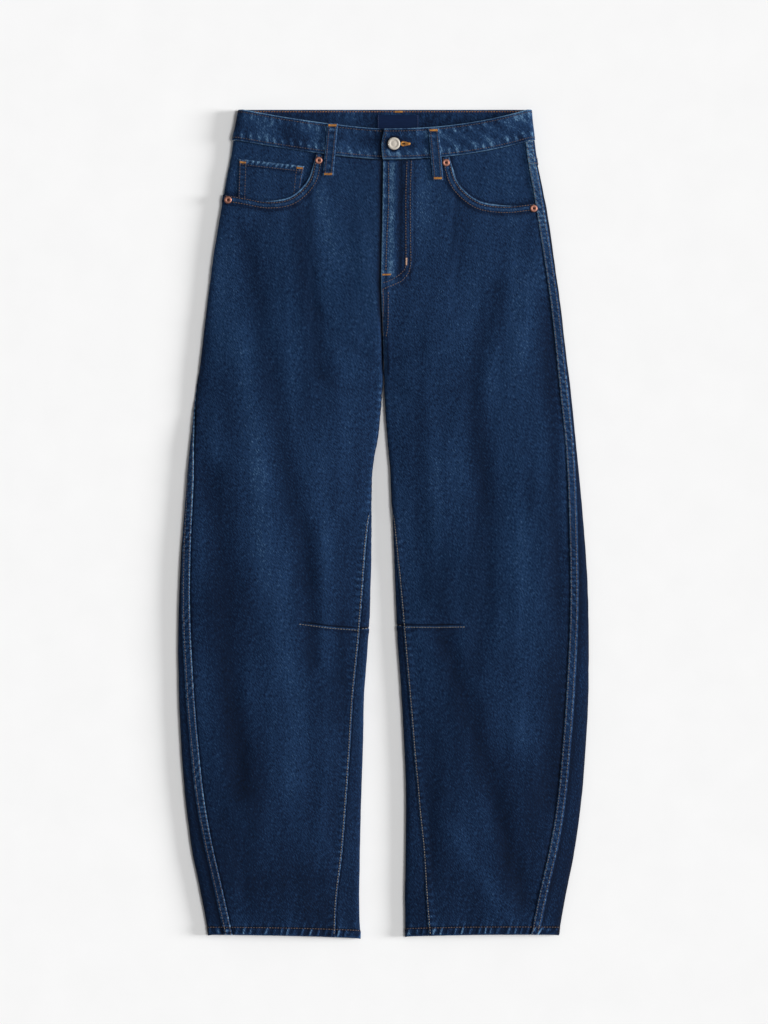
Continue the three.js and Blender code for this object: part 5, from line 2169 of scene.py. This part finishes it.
@dataclass
class Fly:
    """The fly's rows of stitching on the left front, its bar tacks and the buttonhole."""

    edge_row: Path = ((2.8, 812), (4.2, 855), (6.2, 895), (6.0, 944))
    j_rows: tuple[Path, ...] = (
        ((28.6, 945), (27.2, 905), (27.2, 850), (27, 818), (22.7, 809.8), (14.1, 802.9), (5.6, 798.6),
         (-1, 797)),
        ((34, 946), (32.6, 905), (32.9, 850), (32.5, 816), (24.4, 801.2), (14.1, 795.2), (5.6, 791.8),
         (-2, 788)),
    )
    seam_rows: tuple[Path, ...] = (
        ((0.5, 732), (0.2, 748), (0.1, 768), (-0.9, 788)), ((3.4, 731), (5.4, 747), (5.8, 786)),
    )
    bars: tuple[Path, ...] = (((27.8, 818.5), (27.8, 827)), ((-1.2, 806.7), (8.8, 806.9)))
    hole_at: tuple[float, float] = (24.4, 966.2)
    hole_ahead: float = 7.4
    hole_behind: float = 2.6
    hole_half: float = 1.9  # half its width
    hole_threads: int = 58
    slit_at: tuple[float, float] = (24.2, 966.2)
    slit_size: tuple[float, float, float] = (2.6, 1.1, 0.75)

    def build(self, front: Grid, band: Grid) -> None:
        """Sew the fly on the left front, and the buttonhole on the waistband.

        Args:
            front: The left front.
            band: The waistband.
        """
        paths = (self.edge_row, *self.j_rows, *self.seam_rows)
        rows = [surface_row([front], fine_path(path), 51 + i) for i, path in enumerate(paths)]
        sew("stitching_fly", rows, THREAD_FINISH)
        bars = []
        for path in self.bars:
            met, kept = drop([front], *FORM.lay(Layer.FRONT, *np.array(path).T, 1.0))
            bars.append(SEWING.bar(met[0], met[1], kept[0], 2.4, 0.35))
        sew("bartack_fly_side", bars[:1], PALE_THREAD_FINISH, "bartack")
        sew("bartack_fly_bottom", bars[1:], BARTACK_FINISH, "bartack")
        self.buttonhole(band)
        log.info("fly: sewn")

    def buttonhole(self, band: Grid) -> None:
        """Sew a keyhole of close threads round a dark slit in the waistband's left end.

        Args:
            band: The waistband.
        """
        turns = np.linspace(0, 2 * math.pi, self.hole_threads, endpoint=False)
        ahead = np.maximum(np.cos(turns), 0)
        x = self.hole_at[0] + np.where(ahead > 0, self.hole_ahead, self.hole_behind) * np.cos(turns)
        y = self.hole_at[1] + self.hole_half * np.sin(turns) * (1 - 0.6 * ahead)
        base, normals = FORM.lay(Layer.FRONT, x, y, 3.0)
        met, kept = drop([band], base, normals)
        outward = np.stack([np.cos(turns) * 0.5, np.sin(turns), 0 * turns], axis=1)[: len(met)]
        sizes = np.tile([2.9, 0.6, 0.8], (len(met), 1))
        sew("buttonhole_stitching", [(met + kept * 0.2, outward, kept, sizes)], BARTACK_FINISH, "bartack")
        shape = bmesh.new()
        bmesh.ops.create_uvsphere(shape, u_segments=20, v_segments=8, radius=1)
        seat = drop([band], *FORM.lay(Layer.FRONT, *np.array(self.slit_at)[:, None], 3.0))[0]
        bmesh.ops.scale(shape, verts=shape.verts, vec=Vector(self.slit_size) * MM)
        bmesh.ops.translate(shape, verts=shape.verts, vec=Vector(metres(seat[0])))
        dress(put("buttonhole_slit", to_mesh(shape, "buttonhole_slit")), EYELET_FINISH, "denim")


@dataclass
class Fastener:
    """A turned metal fastener, set on the cloth along its normal."""

    name: str
    node: str
    profile: tuple[tuple[float, float], ...]
    at: tuple[float, float]
    lift: float
    finish: Finish
    slot: str
    segments: int = 48
    centre: Finish | None = None
    centre_radius: float = 0.0

    def build(self) -> None:
        """Spin the profile and set it in place."""
        shape = bmesh.new()
        points = [shape.verts.new((radius * MM, 0, height * MM)) for radius, height in self.profile]
        edges = [shape.edges.new(pair) for pair in zip(points, points[1:])]
        bmesh.ops.spin(
            shape, geom=points + edges, cent=(0, 0, 0), axis=(0, 0, 1), angle=2 * math.pi,
            steps=self.segments, use_merge=True, use_duplicate=False,
        )
        bmesh.ops.remove_doubles(shape, verts=shape.verts, dist=1e-6)
        bmesh.ops.recalc_face_normals(shape, faces=shape.faces)
        hollow = [face.calc_center_median().to_2d().length < self.centre_radius * MM for face in shape.faces]
        places, normals = FORM.lay(Layer.FRONT, np.array([self.at[0]]), np.array([self.at[1]]), self.lift)
        turn = Vector((0, 0, 1)).rotation_difference(Vector(normals[0])).to_matrix().to_4x4()
        seat = Matrix.Translation(Vector(metres(places[0])))
        bmesh.ops.transform(shape, verts=shape.verts, matrix=seat @ turn)
        piece = dress(put(self.name, to_mesh(shape, self.name)), self.finish, self.slot)
        if self.centre:
            piece.data.materials.append(self.centre.material())
            piece.data.polygons.foreach_set("material_index", [int(inside) for inside in hollow])
        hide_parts(self.node)
        log.info("%s: built", self.name)


BUTTON_PROFILE = (
    (0, 0), (3.4, 0), (3.8, 1.1), (6.6, 1.25), (7.3, 1.5), (7.6, 2.0), (7.55, 2.5), (7.2, 2.95), (6.5, 3.2),
    (5.8, 3.26), (5.1, 3.18), (4.6, 2.98), (4.2, 2.84), (3.5, 2.8), (3.0, 2.84), (2.5, 2.95), (1.8, 3.04),
    (0.8, 3.08), (0, 3.1),
)
RIVET_PROFILE = (
    (0, 0), (4.5, 0), (4.6, 0.3), (4.35, 0.8), (3.8, 1.2), (3.1, 1.35), (2.5, 1.25), (2.0, 1.05),
    (1.5, 0.9), (0, 0.85),
)


@dataclass
class Label:
    """The woven label inside the back waistband, left bare, sewn down at its two ends."""

    wall: float = 0.5

    def build(self) -> None:
        """Build the label and its end stitching."""
        up, over = unit_grid(26, 44)
        x, y = mix(LABEL["left"], LABEL["right"], over), mix(LABEL["bottom"], LABEL["top"], up)
        edge = np.minimum(np.minimum(x - LABEL["left"], LABEL["right"] - x), np.minimum(y - y[0], y[-1] - y))
        inside = BAND_WALL - BAND_PROUD + 0.35
        bow = 0.12 * np.sin(math.pi * over) * np.sin(math.pi * up) - 0.12 * bump(edge, 0.6)
        places, normals = FORM.lay(Layer.BACK, x, y, -(inside + self.wall + bow))
        grid = Grid("label_cloth", places, -normals, np.stack([x, y], axis=-1), 0 * x, self.wall)
        piece = lay_cloth(grid, "label", LABEL_FINISH, "label")
        rows = [SEWING.row(*seam_line(grid, 1.6, from_end), 61, 2.2) for from_end in (False, True)]
        sewn = sew("stitching_label", rows, NAVY_THREAD_FINISH)


@dataclass
class Studio:
    """The white surface, the soft light from above and the low light from the wearer's left."""

    floor_size: float = 8.0
    floor_level: float = -0.3
    sky: float = 0.24
    overhead: float = 1.55
    overhead_spread: float = 18.0
    low: float = 4.0
    low_elevation: float = 16.5
    low_spread: float = 17.0

    def build(self) -> None:
        """Make the floor, the lights and the camera."""
        shape = bmesh.new()
        bmesh.ops.create_grid(shape, x_segments=1, y_segments=1, size=self.floor_size / 2)
        bmesh.ops.translate(shape, verts=shape.verts, vec=(0, 0, self.floor_level * MM))
        floor = put("white_surface", to_mesh(shape, "white_surface"))
        floor.data.materials.append(FLOOR_FINISH.material())
        world = bpy.data.worlds.new("soft_white_room")
        world.use_nodes = True
        background = world.node_tree.nodes["Background"]
        background.inputs["Color"].default_value = (1, 1, 1, 1)
        background.inputs["Strength"].default_value = self.sky
        bpy.context.scene.world = world
        self.sun("overhead_light", self.overhead, self.overhead_spread, (0.47, 0.05, 1.0))
        height = math.radians(self.low_elevation)
        self.sun("low_light", self.low, self.low_spread, (math.cos(height), 0.04, math.sin(height)))
        self.camera()

    @staticmethod
    def sun(name: str, strength: float, spread: float, toward: tuple[float, float, float]) -> None:
        """Add a sun that shines from a direction.

        Args:
            name: The object's or mesh's name.
            strength: Its strength.
            spread: How wide it is, in degrees.
            toward: The way to it.
        """
        light = bpy.data.lights.new(name, "SUN")
        light.energy = strength
        light.angle = math.radians(spread)
        put(name, light).rotation_euler = Vector(toward).to_track_quat("Z", "Y").to_euler()

    @staticmethod
    def camera() -> None:
        """Look straight down, with the photograph's frame at the height of the cloth."""
        data = bpy.data.cameras.new("camera")
        data.sensor_fit = "VERTICAL"
        data.sensor_height = SENSOR
        data.lens = SENSOR * (CAMERA_AT[2] - CLOTH_HEIGHT) / FRAME_HEIGHT
        data.clip_end = 50
        camera = put("camera", data)
        camera.location = Vector(CAMERA_AT) * MM
        bpy.context.scene.camera = camera


def dress_hidden(nodes: dict[str, bpy.types.Object]) -> None:
    """Give the model's own solids inside the fly their finishes.

    Args:
        nodes: The model's solids by name.
    """
    for name, finish in (("fly_facing", FACING_FINISH), ("zip", ZIP_FINISH)):
        for slot in nodes[name].material_slots:
            slot.material = finish.material()


def main() -> None:
    """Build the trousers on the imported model."""
    logging.basicConfig(level=logging.INFO, format="%(name)s: %(message)s")
    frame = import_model()
    bpy.context.scene.view_settings.view_transform = "Standard"
    Studio().build()
    legs = [Leg(side) for side in Side]
    for leg in legs:
        leg.work_out()
        leg.build()
    CoinPocket().build()
    band = Waistband()
    band.build()
    for name, layer, top, bottom in LOOPS:
        BeltLoop(name, Layer[layer.upper()], top, bottom).build()
    Fly().build(legs[1].front, band.grid)
    Fastener("button_silver", "button", BUTTON_PROFILE, BUTTON_AT, 2.65, BUTTON_FINISH, "button").build()
    for name, at in RIVETS:
        Fastener(
            f"rivet_{name}_copper", f"rivet_{name}", RIVET_PROFILE, at, 0.95, RIVET_FINISH, "rivet", 32,
            RIVET_HOLLOW_SHADE_FINISH, 1.6,
        ).build()
    Label().build()
    dress_hidden(frame["nodes"])


if __name__ == "__main__":
    main()
